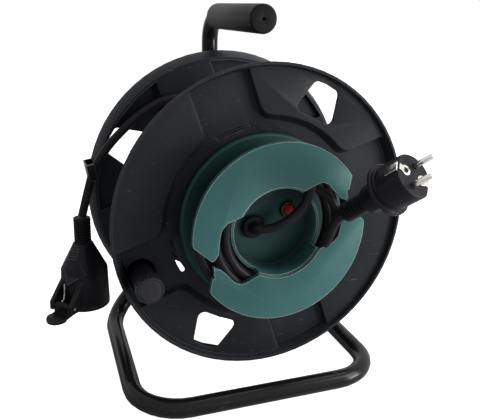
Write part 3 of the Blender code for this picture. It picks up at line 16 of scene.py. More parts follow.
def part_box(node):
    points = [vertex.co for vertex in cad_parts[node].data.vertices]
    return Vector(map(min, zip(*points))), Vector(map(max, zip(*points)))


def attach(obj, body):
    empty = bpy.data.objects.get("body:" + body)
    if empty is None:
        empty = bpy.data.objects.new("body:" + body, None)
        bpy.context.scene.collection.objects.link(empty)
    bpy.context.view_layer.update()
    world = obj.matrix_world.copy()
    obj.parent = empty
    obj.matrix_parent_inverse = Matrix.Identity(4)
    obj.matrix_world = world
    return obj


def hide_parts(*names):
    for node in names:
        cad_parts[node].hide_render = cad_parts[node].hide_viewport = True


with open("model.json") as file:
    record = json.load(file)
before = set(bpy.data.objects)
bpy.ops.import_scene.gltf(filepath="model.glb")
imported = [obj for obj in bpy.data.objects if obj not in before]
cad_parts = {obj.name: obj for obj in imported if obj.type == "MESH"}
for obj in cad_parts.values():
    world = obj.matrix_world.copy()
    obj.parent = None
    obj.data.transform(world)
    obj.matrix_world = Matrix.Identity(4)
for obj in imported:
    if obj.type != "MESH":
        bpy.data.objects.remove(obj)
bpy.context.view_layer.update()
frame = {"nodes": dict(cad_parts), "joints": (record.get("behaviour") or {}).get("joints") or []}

bl_info = {
    "name": "Extension Cord Reel",
    "version": (1, 0, 0),
    "blender": (4, 5, 0),
    "location": "View3D > Sidebar > Reel",
    "description": "Cable drum with a tube stand, a lead store, a plug and a coupler",
    "category": "Object",
}

JOINTS = {joint["name"]: joint for joint in frame["joints"]}
AXLE_HEIGHT = JOINTS["drum_spin"]["pos_m"][2]
BASE = Vector((0.0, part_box("front_flange")[0].y, AXLE_HEIGHT))
MM = 0.001


# ---- settings a user would change ------------------------------------------------------------
def colour_setting(name, description, default):
    return FloatVectorProperty(name=name, description=description, subtype="COLOR", size=3,
                               min=0.0, max=1.0, default=default)


def length_setting(name, description, default):
    return FloatProperty(name=name, description=description, subtype="DISTANCE", unit="LENGTH",
                         min=0.0, max=2.0, default=default, precision=4)


def power_setting(name, description, default):
    return FloatProperty(name=name, description=description, default=default, min=0.0)


class ReelColours(bpy.types.PropertyGroup):
    """Colours of the mouldings, rubber and metal."""
    flange: colour_setting("Flange", "Black plastic of the drum", (0.0150, 0.0165, 0.0205))
    sector: colour_setting("Sector", "Smooth raised sectors of the drum", (0.0150, 0.0160, 0.0178))
    plate: colour_setting("Plate", "Green plastic of the storage plate", (0.0290, 0.0960, 0.0940))
    bowl: colour_setting("Bowl", "Darker green of the lead bowl", (0.0140, 0.0560, 0.0510))
    plug: colour_setting("Plug", "Black plastic of the plug and coupler", (0.0095, 0.0097, 0.0120))
    rubber: colour_setting("Rubber", "Grip, sleeves and grommet", (0.0050, 0.0050, 0.0056))
    sheath: colour_setting("Sheath", "Outer sheath of the cables", (0.0105, 0.0100, 0.0115))
    paint: colour_setting("Paint", "Gloss powder coat of the tube", (0.0065, 0.0068, 0.0075))
    steel: colour_setting("Steel", "Zinc-plated steel", (0.55, 0.56, 0.58))
    nickel: colour_setting("Nickel", "Nickel-plated contacts", (0.74, 0.72, 0.68))
    button: colour_setting("Button", "Red button of the cut-out", (0.26, 0.008, 0.012))
    bush: colour_setting("Bush", "Pale plastic of the bushes", (0.62, 0.61, 0.57))


class ReelSizes(bpy.types.PropertyGroup):
    """Sizes that the solids leave open."""
    cable_diameter: length_setting("Cable diameter", "Thickness of the main cable and the lead", 0.0084)
    turn_pitch: length_setting("Turn pitch", "Distance between turns along the core", 0.0089)
    layer_rise: length_setting("Layer rise", "Height of one layer of turns over the last", 0.00713)
    turns: IntProperty(name="Turns", description="Turns in each layer", default=12, min=1, max=20)
    layers: IntProperty(name="Layers", description="Layers of main cable", default=4, min=1, max=6)
    edge: length_setting("Moulded edge", "Radius of a moulded edge", 0.0006)
    plate_edge: length_setting("Plate edge", "Radius of the storage plate's edge", 0.0009)


class ReelStudio(bpy.types.PropertyGroup):
    """Camera and light."""
    camera_place: FloatVectorProperty(name="Camera place", description="Where the camera stands",
                                      subtype="TRANSLATION", unit="LENGTH", size=3,
                                      default=(-0.2122, -0.5617, 0.3363))
    camera_turn: FloatVectorProperty(name="Camera turn", description="How the camera is turned",
                                     subtype="EULER", unit="ROTATION", size=3,
                                     default=[math.radians(turn) for turn in (72.405, -1.454, -20.117)])
    lens: FloatProperty(name="Lens", description="Focal length in millimetres on a 36 mm sensor",
                        default=47.62, min=10.0, max=200.0)
    tent: power_setting("Tent", "Strength of the white surroundings as light", 0.34)
    key: power_setting("Key lamp", "Power of the large lamp on the right", 13.0)
    card: power_setting("Card lamp", "Power of the low lamp on the right", 12.0)
    top: power_setting("Top lamp", "Power of the lamp above", 6.0)


def colours():
    return bpy.context.scene.reel_colours


def sizes():
    return bpy.context.scene.reel_sizes


def studio():
    return bpy.context.scene.reel_studio


# ---- places ----------------------------------------------------------------------------------
def base_point(x, y, z):
    """A point given from the middle of the front rim."""
    return BASE + Vector((x, y, z))


def face_point(radius, degrees, y):
    """A point at a radius and an angle seen from the front, y behind the front rim."""
    angle = math.radians(degrees)
    return base_point(radius * math.cos(angle), y, radius * math.sin(angle))


# ---- curves ----------------------------------------------------------------------------------
def catmull(before, start, end, after, t):
    """A point between start and end on the smooth curve through four points."""
    return 0.5 * ((2 * start) + (end - before) * t + (2 * before - 5 * start + 4 * end - after) * t * t
                  + (3 * start - before - 3 * end + after) * t * t * t)


def smooth_line(points, parts=6):
    """A denser list of points on a smooth curve through the given ones."""
    points = [Vector(p) for p in points]
    ends = [2 * points[0] - points[1], *points, 2 * points[-1] - points[-2]]
    line = [catmull(*ends[i:i + 4], step / parts) for i in range(len(points) - 1) for step in range(parts)]
    return [*line, points[-1]]


def evenly(points, spacing):
    """The same line with its points about spacing apart."""
    lengths = [0.0]
    for a, b in zip(points, points[1:]):
        lengths.append(lengths[-1] + (b - a).length)
    count = max(2, round(lengths[-1] / spacing))
    line, at = [], 0
    for i in range(count + 1):
        wanted = lengths[-1] * i / count
        while at < len(points) - 2 and lengths[at + 1] < wanted:
            at += 1
        span = lengths[at + 1] - lengths[at]
        line.append(points[at].lerp(points[at + 1], (wanted - lengths[at]) / span if span else 0.0))
    return line


def eased(t):
    """A share from 0 to 1 that starts and ends slowly."""
    return t * t * (3 - 2 * t)


def line_length(points):
    return sum((b - a).length for a, b in zip(points, points[1:]))


def round_cord(name, points, radius, fineness=4):
    """A tube along a line of points."""
    data = bpy.data.curves.new(name, "CURVE")
    data.dimensions = "3D"
    data.bevel_depth = radius
    data.bevel_resolution = fineness
    data.use_fill_caps = True
    data.resolution_u = 1
    spline = data.splines.new("POLY")
    spline.points.add(len(points) - 1)
    for spot, point in zip(spline.points, points):
        spot.co = (*point, 1.0)
    spline.use_smooth = True
    return new_piece(name, data)


# ---- meshes ----------------------------------------------------------------------------------
SOFT_ANGLE = math.radians(32.0)   # edges sharper than this get rounded
JOIN_ANGLE = math.radians(0.6)    # faces flatter to each other than this become one
FACING = 0.9                      # a face looks a certain way if this much of its normal does


def new_piece(name, data):
    piece = bpy.data.objects.new(name, data)
    bpy.context.scene.collection.objects.link(piece)
    return piece


def mesh_from(name, build):
    data = bpy.data.meshes.new(name)
    work = bmesh.new()
    build(work)
    bmesh.ops.recalc_face_normals(work, faces=work.faces)
    work.to_mesh(data)
    work.free()
    return data


def round_edges(piece, width, segments=3):
    """Rounds the sharp edges and shades the rest smooth."""
    piece.data.shade_smooth()
    if width:
        bevel = piece.modifiers.new("edges", "BEVEL")
        bevel.width = width
        bevel.segments = segments
        bevel.limit_method = "ANGLE"
        bevel.angle_limit = SOFT_ANGLE
        bevel.harden_normals = True
        bevel.miter_outer = "MITER_ARC"
    return piece


def softened(node, width):
    """A piece in a node's place: its solid with the flat faces joined and the edges rounded."""
    source = frame["nodes"][node]

    def build(work):
        work.from_mesh(source.data)
        bmesh.ops.remove_doubles(work, verts=work.verts, dist=0.01 * MM)
        bmesh.ops.dissolve_limit(work, angle_limit=JOIN_ANGLE, verts=work.verts, edges=work.edges)

    piece = new_piece(f"{node}_moulding", mesh_from(f"{node}_moulding", build))
    round_edges(piece, width)
    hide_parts(node)
    return piece


def seat(piece, body):
    """Puts a finished piece on the body that carries it."""
    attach(piece, body)
    return piece


def paint(thing, *materials):
    thing.data.materials.clear()
    for material in materials:
        thing.data.materials.append(material)
    return thing


def dress(node, edge, material, body):
    """A softened and painted piece in a node's place, on its body."""
    return seat(paint(softened(node, edge), material), body)


def finish_nodes(material, *nodes):
    """A better material on nodes that keep their own shape."""
    for node in nodes:
        paint(frame["nodes"][node], material)


# ---- shader node groups ----------------------------------------------------------------------
class Group:
    """A shader node group with named inputs and outputs."""

    def __init__(self, name, inputs, outputs):
        self.tree = bpy.data.node_groups.new(name, "ShaderNodeTree")
        for label, kind, default in inputs:
            socket = self.tree.interface.new_socket(label, in_out="INPUT", socket_type=kind)
            socket.default_value = default
        for label, kind in outputs:
            self.tree.interface.new_socket(label, in_out="OUTPUT", socket_type=kind)
        self.entry = self.tree.nodes.new("NodeGroupInput")
        self.exit = self.tree.nodes.new("NodeGroupOutput")

    def add(self, kind, **values):
        return add_node(self.tree, kind, **values)

    def link(self, start, end):
        self.tree.links.new(start, end)


def add_node(tree, kind, **values):
    """A node with its settings, and values for the sockets that share a setting's name."""
    node = tree.nodes.new(kind)
    for key, value in values.items():
        if hasattr(node, key):
            setattr(node, key, value)
        else:
            node.inputs[key.replace("_", " ")].default_value = value
    return node


def once(make):
    """Keeps the result of a maker function for its next calls."""
    kept = []

    def found():
        if not kept:
            kept.append(make())
        return kept[0]

    return found


@once
def grain_group():
    """Fine moulded grain and a slow mottle."""
    group = Group("moulded_grain", [("Scale", "NodeSocketFloat", 900.0)],
                  [("Grain", "NodeSocketFloat"), ("Mottle", "NodeSocketFloat")])
    place = group.add("ShaderNodeTexCoord")
    fine = group.add("ShaderNodeTexNoise", Detail=3.0, Roughness=0.6)
    slow = group.add("ShaderNodeTexNoise", Scale=22.0, Detail=3.0)
    group.link(place.outputs["Object"], fine.inputs["Vector"])
    group.link(place.outputs["Object"], slow.inputs["Vector"])
    group.link(group.entry.outputs["Scale"], fine.inputs["Scale"])
    group.link(fine.outputs["Fac"], group.exit.inputs["Grain"])
    group.link(slow.outputs["Fac"], group.exit.inputs["Mottle"])
    return group.tree


@once
def scuff_group():
    """Thin scratches and specks, as on a tool that is carried about."""
    group = Group("scuffs", [("Amount", "NodeSocketFloat", 0.5)], [("Mask", "NodeSocketFloat")])
    place = group.add("ShaderNodeTexCoord")
    bend = group.add("ShaderNodeMapping", Scale=(18.0, 30.0, 160.0), Rotation=(0.4, 0.9, 0.3))
    lines = group.add("ShaderNodeTexNoise", Scale=4.0, Detail=4.0, Distortion=0.6)
    line_step = group.add("ShaderNodeMapRange", From_Min=0.66, From_Max=0.74)
    specks = group.add("ShaderNodeTexNoise", Scale=330.0, Detail=2.0)
    speck_step = group.add("ShaderNodeMapRange", From_Min=0.70, From_Max=0.78)
    both = group.add("ShaderNodeMath", operation="MAXIMUM")
    scaled = group.add("ShaderNodeMath", operation="MULTIPLY")
    group.link(place.outputs["Object"], bend.inputs["Vector"])
    group.link(bend.outputs["Vector"], lines.inputs["Vector"])
    group.link(lines.outputs["Fac"], line_step.inputs["Value"])
    group.link(place.outputs["Object"], specks.inputs["Vector"])
    group.link(specks.outputs["Fac"], speck_step.inputs["Value"])
    group.link(line_step.outputs["Result"], both.inputs[0])
    group.link(speck_step.outputs["Result"], both.inputs[1])
    group.link(both.outputs["Value"], scaled.inputs[0])
    group.link(group.entry.outputs["Amount"], scaled.inputs[1])
    group.link(scaled.outputs["Value"], group.exit.inputs["Mask"])
    return group.tree


@once
def edge_highlight_group():
    """A mask that is 1 at outer edges, where a painted highlight pales the surface."""
    group = Group("worn_edges", [("Width", "NodeSocketFloat", 0.0012), ("Gain", "NodeSocketFloat", 2.0)],
                  [("Mask", "NodeSocketFloat")])
    rounded = group.add("ShaderNodeBevel", samples=4)
    plain = group.add("ShaderNodeNewGeometry")
    same = group.add("ShaderNodeVectorMath", operation="DOT_PRODUCT")
    away = group.add("ShaderNodeMath", operation="SUBTRACT", use_clamp=True)
    away.inputs[0].default_value = 1.0
    gained = group.add("ShaderNodeMath", operation="MULTIPLY", use_clamp=True)
    group.link(group.entry.outputs["Width"], rounded.inputs["Radius"])
    group.link(rounded.outputs["Normal"], same.inputs[0])
    group.link(plain.outputs["Normal"], same.inputs[1])
    group.link(same.outputs["Value"], away.inputs[1])
    group.link(away.outputs["Value"], gained.inputs[0])
    group.link(group.entry.outputs["Gain"], gained.inputs[1])
    group.link(gained.outputs["Value"], group.exit.inputs["Mask"])
    return group.tree


@once
def hollow_shade_group():
    """A mask for painted shade that falls from 1 in the open to 1 less Depth deep in a hollow, where less
    light comes.
    """
    group = Group("hollows", [("Reach", "NodeSocketFloat", 0.03), ("Depth", "NodeSocketFloat", 0.5)],
                  [("Mask", "NodeSocketFloat")])
    around = group.add("ShaderNodeAmbientOcclusion", samples=6)
    masked = group.add("ShaderNodeMapRange")
    lowest = group.add("ShaderNodeMath", operation="SUBTRACT")
    lowest.inputs[0].default_value = 1.0
    group.link(group.entry.outputs["Reach"], around.inputs["Distance"])
    group.link(group.entry.outputs["Depth"], lowest.inputs[1])
    group.link(around.outputs["AO"], masked.inputs["Value"])
    group.link(lowest.outputs["Value"], masked.inputs["To Min"])
    group.link(masked.outputs["Result"], group.exit.inputs["Mask"])
    return group.tree


# ---- materials -------------------------------------------------------------------------------
def blank_material(name):
    material = bpy.data.materials.new(name)
    material.use_nodes = True
    tree = material.node_tree
    return material, tree, tree.nodes["Principled BSDF"]


def mixed(tree, mask, first, second):
    """A colour between two others, each a colour or a socket, by a mask."""
    mix = add_node(tree, "ShaderNodeMix", data_type="RGBA")
    tree.links.new(mask, mix.inputs["Factor"])
    for socket, value in ((mix.inputs[6], first), (mix.inputs[7], second)):
        if isinstance(value, bpy.types.NodeSocket):
            tree.links.new(value, socket)
        else:
            socket.default_value = (*value, 1.0)
    return mix.outputs[2]


def ranged(tree, value, low, high):
    """A value that runs from low to high as another runs from 0 to 1."""
    step = add_node(tree, "ShaderNodeMapRange", To_Min=low, To_Max=high)
    tree.links.new(value, step.inputs["Value"])
    return step.outputs["Result"]


def group_node(tree, group, **values):
    node = tree.nodes.new("ShaderNodeGroup")
    node.node_tree = group
    for key, value in values.items():
        node.inputs[key].default_value = value
    return node


def bumped(tree, height, strength, distance):
    """Moves the shader's normal by a height."""
    relief = add_node(tree, "ShaderNodeBump", Strength=strength, Distance=distance)
    tree.links.new(height, relief.inputs["Height"])
    tree.links.new(relief.outputs["Normal"], tree.nodes["Principled BSDF"].inputs["Normal"])


def times(colour, share):
    """A darker or lighter version of a colour."""
    return [c * share for c in colour]


def lifted(colour, share):
    """A version of a colour that is nearer white."""
    return [c + (1.0 - c) * share for c in colour]


GRAIN_HEIGHT = 0.05 * MM


def moulded(name, colour, roughness, scale=900.0, bump=0.15, scuffs=0.35, edge_highlight=0.16, gloss=0.10,
            reach=25 * MM, depth=0.6):
    """Moulded plastic: grain, slow mottle, scuffs, a painted highlight on the edges and painted shade deep
    in a hollow.
    """
    material, tree, shader = blank_material(name)
    grain = group_node(tree, grain_group(), Scale=scale)
    scratch = group_node(tree, scuff_group(), Amount=scuffs)
    edge = group_node(tree, edge_highlight_group())
    body = mixed(tree, grain.outputs["Mottle"], times(colour, 0.82), times(colour, 1.18))
    marked = mixed(tree, scratch.outputs["Mask"], body, lifted(colour, 0.12))
    # Painted highlight: the edge mask lifts the colour towards white along the edges.
    edge_lit = mixed(tree, edge.outputs["Mask"], marked, lifted(colour, edge_highlight))
    # Painted shade: this mask darkens the base colour and the gloss deep in a hollow.
    hollow = group_node(tree, hollow_shade_group(), Reach=reach, Depth=depth)
    shaded = mixed(tree, hollow.outputs["Mask"], [0.0, 0.0, 0.0], edge_lit)
    tree.links.new(shaded, shader.inputs["Base Color"])
    tree.links.new(ranged(tree, hollow.outputs["Mask"], 0.0, gloss), shader.inputs["Specular IOR Level"])
    tree.links.new(ranged(tree, grain.outputs["Mottle"], roughness - 0.05, roughness + 0.06),
                   shader.inputs["Roughness"])
    bumped(tree, grain.outputs["Grain"], bump, GRAIN_HEIGHT)
    return material


def rubbery(name, colour, roughness=0.50, sheen=0.03):
    """Rubber: soft broken highlights and a dusty bloom."""
    material, tree, shader = blank_material(name)
    grain = group_node(tree, grain_group(), Scale=1500.0)
    body = mixed(tree, grain.outputs["Mottle"], times(colour, 0.75), times(colour, 1.35))
    tree.links.new(body, shader.inputs["Base Color"])
    tree.links.new(ranged(tree, grain.outputs["Mottle"], roughness - 0.08, roughness + 0.08),
                   shader.inputs["Roughness"])
    bumped(tree, grain.outputs["Grain"], 0.12, GRAIN_HEIGHT)
    shader.inputs["Sheen Weight"].default_value = sheen
    shader.inputs["Sheen Roughness"].default_value = 0.4
    shader.inputs["Specular IOR Level"].default_value = 0.09
    return material


def metallic(name, colour, roughness):
    """Bare or plated metal with fine brushing."""
    material, tree, shader = blank_material(name)
    grain = group_node(tree, grain_group(), Scale=1800.0)
    body = mixed(tree, grain.outputs["Mottle"], times(colour, 0.85), colour)
    tree.links.new(body, shader.inputs["Base Color"])
    tree.links.new(ranged(tree, grain.outputs["Grain"], roughness - 0.08, roughness + 0.10),
                   shader.inputs["Roughness"])
    shader.inputs["Metallic"].default_value = 1.0
    return material


@once
def flange_plastic():
    return moulded("flange_plastic", colours().flange, 0.40, bump=0.30)


@once
def sector_plastic():
    return moulded("sector_plastic", colours().sector, 0.38, scale=500.0, bump=0.06, scuffs=0.30)


@once
def plate_plastic():
    # The plate's edges get a strong painted highlight.
    return moulded("plate_plastic", colours().plate, 0.42, bump=0.10, scuffs=0.15, edge_highlight=0.65, gloss=0.18,
                   reach=12 * MM)


@once
def bowl_plastic():
    # The bowl gets deep painted shade in its cup and a painted highlight on its edges.
    return moulded("bowl_plastic", colours().bowl, 0.42, bump=0.10, scuffs=0.15, edge_highlight=0.30, gloss=0.20,
                   reach=40 * MM, depth=0.8)


@once
def plug_plastic():
    return moulded("plug_plastic", colours().plug, 0.36, bump=0.10, scuffs=0.20)


@once
def cap_plastic():
    """The paler black of the knob's cap and of the details on the coupler."""
    return moulded("cap_plastic", times(colours().plug, 2.4), 0.40, bump=0.20, scuffs=0.25, edge_highlight=0.30)


@once
def hatched_plastic():
    """Plug plastic with a fine moulded check, as on the plug's front face."""
    material = moulded("hatched_plastic", times(colours().plug, 1.2), 0.36, bump=0.10, scuffs=0.10)
    tree = material.node_tree
    place = tree.nodes.new("ShaderNodeTexCoord")
    check = add_node(tree, "ShaderNodeTexChecker", Scale=1100.0)
    tree.links.new(place.outputs["Object"], check.inputs["Vector"])
    bumped(tree, check.outputs["Fac"], 0.8, 0.3 * MM)
    return material


@once
def fitting_plastic():
    return moulded("fitting_plastic", times(colours().plug, 0.8), 0.34, bump=0.08, scuffs=0.15)


@once
def grip_rubber():
    return rubbery("grip_rubber", colours().rubber)


@once
def sheath_rubber():
    return rubbery("sheath_rubber", colours().sheath, 0.40, 0.04)


@once
def tube_paint():
    """Gloss powder coat: dark base under a clear, slightly wavy coat."""
    material, tree, shader = blank_material("tube_paint")
    grain = group_node(tree, grain_group(), Scale=260.0)
    scratch = group_node(tree, scuff_group(), Amount=0.35)
    colour = colours().paint
    marked = mixed(tree, scratch.outputs["Mask"], colour, lifted(colour, 0.10))
    tree.links.new(marked, shader.inputs["Base Color"])
    tree.links.new(ranged(tree, grain.outputs["Mottle"], 0.20, 0.30), shader.inputs["Roughness"])
    bumped(tree, grain.outputs["Grain"], 0.10, 0.1 * MM)
    shader.inputs["Specular IOR Level"].default_value = 0.10
    shader.inputs["Coat Weight"].default_value = 0.14
    shader.inputs["Coat Roughness"].default_value = 0.08
    return material


@once
def zinc_steel():
    return metallic("zinc_steel", colours().steel, 0.32)


@once
def bright_nickel():
    return metallic("bright_nickel", colours().nickel, 0.20)


@once
def button_plastic():
    return moulded("button_plastic", colours().button, 0.25, bump=0.03, scuffs=0.1, edge_highlight=0.05)


@once
def bush_plastic():
    return moulded("bush_plastic", colours().bush, 0.45, bump=0.10, scuffs=0.10, edge_highlight=0.0)


# ---- operators -------------------------------------------------------------------------------
SENSOR = 36.0
LAMPS = {"key": ((1.15, -0.80, 0.95), 0.7),     # place and width of each
         "card": ((0.98, -0.78, 0.20), 0.45),
         "top": ((0.6, 0.1, 1.7), 0.9)}
LAMP_AIM = Vector((0, 0, 0.12))
FLOOR_SIZE = 4.0
FLOOR_DROP = 0.4 * MM
FLOOR_GREY = 0.86
FLOOR_GLOW = 0.95       # brings the lit floor up to plain white for the camera


class REEL_OT_stage(bpy.types.Operator):
    """Camera, white floor, lamps and surroundings"""
    bl_idname = "reel.stage"
    bl_label = "Stage"

    def execute(self, context):
        scene = context.scene
        settings = studio()
        self.camera(scene, settings)
        scene.view_settings.view_transform = "Standard"
        self.surroundings(scene, settings.tent)
        for name, (place, size) in LAMPS.items():
            self.lamp(f"{name}_lamp", getattr(settings, name), Vector(place), size)
        self.floor()
        return {"FINISHED"}

    @staticmethod
    def camera(scene, settings):
        data = bpy.data.cameras.new("camera")
        data.sensor_width = SENSOR
        data.lens = settings.lens
        camera = new_piece("camera", data)
        camera.location = settings.camera_place
        camera.rotation_euler = settings.camera_turn
        scene.camera = camera

    @staticmethod
    def lamp(name, power, place, size):
        data = bpy.data.lights.new(name, "AREA")
        data.energy = power
        data.size = size
        lamp = new_piece(name, data)
        lamp.location = place
        lamp.rotation_euler = (LAMP_AIM - place).to_track_quat("-Z", "Y").to_euler()

    @staticmethod
    def surroundings(scene, strength):
        """White for the eye and in reflections, softer as light."""
        world = bpy.data.worlds.new("white_tent")
        world.use_nodes = True
        scene.world = world
        tree = world.node_tree
        rays = tree.nodes.new("ShaderNodeLightPath")
        looked_at = add_node(tree, "ShaderNodeMath", operation="MAXIMUM")
        mirrored = add_node(tree, "ShaderNodeMath", operation="MAXIMUM")
        level = ranged(tree, mirrored.outputs["Value"], strength, 1.0)
        tree.links.new(rays.outputs["Is Camera Ray"], looked_at.inputs[0])
        tree.links.new(rays.outputs["Is Transmission Ray"], looked_at.inputs[1])
        tree.links.new(looked_at.outputs["Value"], mirrored.inputs[0])
        tree.links.new(rays.outputs["Is Glossy Ray"], mirrored.inputs[1])
        back = tree.nodes["Background"]
        back.inputs["Color"].default_value = (1.0, 1.0, 1.0, 1.0)
        tree.links.new(level, back.inputs["Strength"])

    @staticmethod
    def floor():
        def build(work):
            bmesh.ops.create_grid(work, x_segments=1, y_segments=1, size=FLOOR_SIZE)

        ground = new_piece("studio_floor", mesh_from("studio_floor", build))
        ground.location.z = -FLOOR_DROP
        material, tree, shader = blank_material("floor_white")
        shader.inputs["Base Color"].default_value = (FLOOR_GREY, FLOOR_GREY, FLOOR_GREY, 1.0)
        shader.inputs["Roughness"].default_value = 0.6
        shader.inputs["Specular IOR Level"].default_value = 0.1
        shader.inputs["Emission Color"].default_value = (1.0, 1.0, 1.0, 1.0)
        rays = tree.nodes.new("ShaderNodeLightPath")
        glow = ranged(tree, rays.outputs["Is Camera Ray"], 0.0, FLOOR_GLOW)
        tree.links.new(glow, shader.inputs["Emission Strength"])
        paint(ground, material)


# Routes of the cords' free runs, as points from BASE.
LEAD_START_POINTS = [(-0.0102, -0.0142, -0.0017), (-0.0044, -0.0170, -0.0021), (0.0029, -0.0195, 0.0013),
                     (0.0105, -0.0213, 0.0062), (0.0178, -0.0230, 0.0125), (0.0237, -0.0242, 0.0187),
                     (0.0270, -0.0248, 0.0258), (0.0280, -0.0249, 0.0300)]
LEAD_END_POINTS = [(0.0456, -0.0335, -0.0110), (0.0463, -0.0336, -0.0035), (0.0484, -0.0340, 0.0040),
                   (0.0513, -0.0362, 0.0108), (0.0547, -0.0420, 0.0162)]
TAIL_POINTS = [(0.0045, 0.1120, 0.0887), (-0.0200, 0.1135, 0.0925), (-0.0440, 0.1150, 0.0953),
               (-0.0662, 0.1163, 0.0925), (-0.0892, 0.1163, 0.0795), (-0.1105, 0.1163, 0.0612),
               (-0.1250, 0.1163, 0.0445), (-0.1359, 0.1163, 0.0262), (-0.1418, 0.1163, 0.0077),
               (-0.1460, 0.1168, -0.0080), (-0.1488, 0.1172, -0.0186)]

# Where the stored lead runs as it goes round: angle in degrees, counted on, radius and y in millimetres.
LEAD_ENTRY = (math.degrees(math.atan2(0.0300, 0.0280)), 41.04, -24.9)
LEAD_LANES = [(53, 49.9, -24.9), (60, 57.2, -24.6), (68, 62.6, -24.0), (76, 66.4, -23.2),
              (100, 69.5, -21.0), (150, 70.2, -18.0), (270, 70.2, -18.0), (400, 70.2, -17.0),
              (440, 69.5, -14.5), (500, 61.8, -11.0), (620, 61.5, -11.0), (770, 61.5, -11.0),
              (840, 54.5, -11.0), (960, 54.3, -11.0), (1150, 54.3, -11.5), (1185, 56.0, -18.0),
              (1225, 57.4, -24.4), (1300, 57.4, -24.6), (1462, 56.6, -24.6), (1485, 49.5, -17.0),
              (1515, 46.6, -14.0), (1560, 46.8, -19.0), (1600, 48.4, -24.6), (1700, 48.4, -24.6),
              (1755, 47.4, -25.0), (1774, 44.6, -27.4)]
LEAD_EXIT = (1786.4, 46.9, -33.5)
LANE_STEP = 6.0         # degrees between points in the lanes
LEAD_SPACING = 5 * MM
LEAD_SMOOTHING = 3      # how often each point is moved towards its neighbours
TAIL_SPACING = 4 * MM

TURN_POINTS = 24        # points in each turn of the winding
STEP_OVER_FROM = 0.8    # share of a turn after which the cable moves over to the next
NEST_SHIFT = 0.25       # share of the pitch that each layer lies to one side
WINDING_START = 0.30    # share of a turn at which the winding starts
CORE_CLEARANCE = 0.4 * MM


def tail_line():
    """From the winding over the rear flange's edge and down to the coupler."""
    return evenly(smooth_line([base_point(*p) for p in TAIL_POINTS]), TAIL_SPACING)


def lead_line():
    """Out of the grommet, round in the store's lanes and out to the plug."""
    lanes = [Vector(lane) for lane in (LEAD_ENTRY, *LEAD_LANES, LEAD_EXIT)]
    line = smooth_line([base_point(*p) for p in LEAD_START_POINTS])
    for a, b in zip(lanes, lanes[1:]):
        parts = max(1, round((b.x - a.x) / LANE_STEP))
        for step in range(1, parts + 1):
            share = eased(step / parts)
            degrees = a.x + (b.x - a.x) * (step / parts)
            radius, y = a.y + (b.y - a.y) * share, a.z + (b.z - a.z) * share
            line.append(face_point(radius * MM, degrees, y * MM))
    line += smooth_line([base_point(*p) for p in LEAD_END_POINTS])[1:]
    line = evenly(line, LEAD_SPACING)
    for _ in range(LEAD_SMOOTHING):
        inner = [(a + 2 * b + c) / 4 for a, b, c in zip(line, line[1:], line[2:])]
        line = [line[0], *inner, line[-1]]
    return line


def winding_line(size, radius):
    """Level turns that step over once a round, each layer in the grooves of the last."""
    low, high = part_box("cable_winding")
    middle = (low.y + high.y) / 2
    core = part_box("drum_core")[1].x + radius + CORE_CLEARANCE
    line = []
    for layer in range(size.layers):
        way = 1 if layer % 2 == 0 else -1
        shift = (NEST_SHIFT if layer % 2 else -NEST_SHIFT) * size.turn_pitch
        for turn in range(size.turns):
            last_turn = turn == size.turns - 1
            for step in range(TURN_POINTS):
                part = step / TURN_POINTS
                over = eased(max(0.0, (part - STEP_OVER_FROM) / (1 - STEP_OVER_FROM)))
                if last_turn and layer == size.layers - 1 and over > 0:
                    break
                along = turn - (size.turns - 1) / 2 + (0.0 if last_turn else over)
                lift = over if last_turn else 0.0
                height = core + (layer + lift) * size.layer_rise
                angle = 2 * math.pi * (part + WINDING_START)
                y = middle + way * along * size.turn_pitch + shift * (1 - 2 * lift)
                line.append(Vector((height * math.cos(angle), y, AXLE_HEIGHT + height * math.sin(angle))))
    return line


class REEL_OT_cords(bpy.types.Operator):
    """Main cable on the drum, its tail, and the stored supply lead"""
    bl_idname = "reel.cords"
    bl_label = "Cords"

    def execute(self, context):
        size = sizes()
        radius = size.cable_diameter / 2
        line = winding_line(size, radius)
        cable = self.cord(round_cord("main_cable", line, radius, 2), "drum", "cable_winding")
        tuple(line[0])
        line_length(line)
        self.cord(round_cord("cable_end", tail_line(), radius), "frame", "cable_tail")
        self.cord(round_cord("supply_lead", lead_line(), radius, 3), "drum",
                  "lead_start", "lead_coil", "lead_end")
        return {"FINISHED"}

    @staticmethod
    def cord(cord, body, *nodes):
        """Gives a cord its rubber, its body and the nodes that it stands for."""
        seat(paint(cord, sheath_rubber()), body)
        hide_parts(*nodes)
        return cord


SECTOR_DEPTHS = (3 * MM, 8 * MM)     # how far behind the rim the raised sectors' faces lie


class REEL_OT_drum(bpy.types.Operator):
    """Both flanges and the core, with smooth raised sectors on a grained web"""
    bl_idname = "reel.drum"
    bl_label = "Drum"

    def execute(self, context):
        for node in ("front_flange", "rear_flange"):
            flange = softened(node, sizes().edge)
            paint(flange, flange_plastic(), sector_plastic())
            low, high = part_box(node)
            outward = -1.0 if node == "front_flange" else 1.0
            face = low.y if outward < 0 else high.y
            for side in flange.data.polygons:
                depth = abs(side.center.y - face)
                if side.normal.y * outward > FACING and SECTOR_DEPTHS[0] < depth < SECTOR_DEPTHS[1]:
                    side.material_index = 1
            seat(flange, "drum")
        finish_nodes(flange_plastic(), "drum_core", "knob_socket")
        finish_nodes(bush_plastic(), "bush_front", "bush_rear", "terminal_block")
        finish_nodes(fitting_plastic(), "cord_clamp", "thermal_cutout")
        finish_nodes(zinc_steel(), *(f"flange_screw_{i}" for i in range(1, 5)))
        return {"FINISHED"}


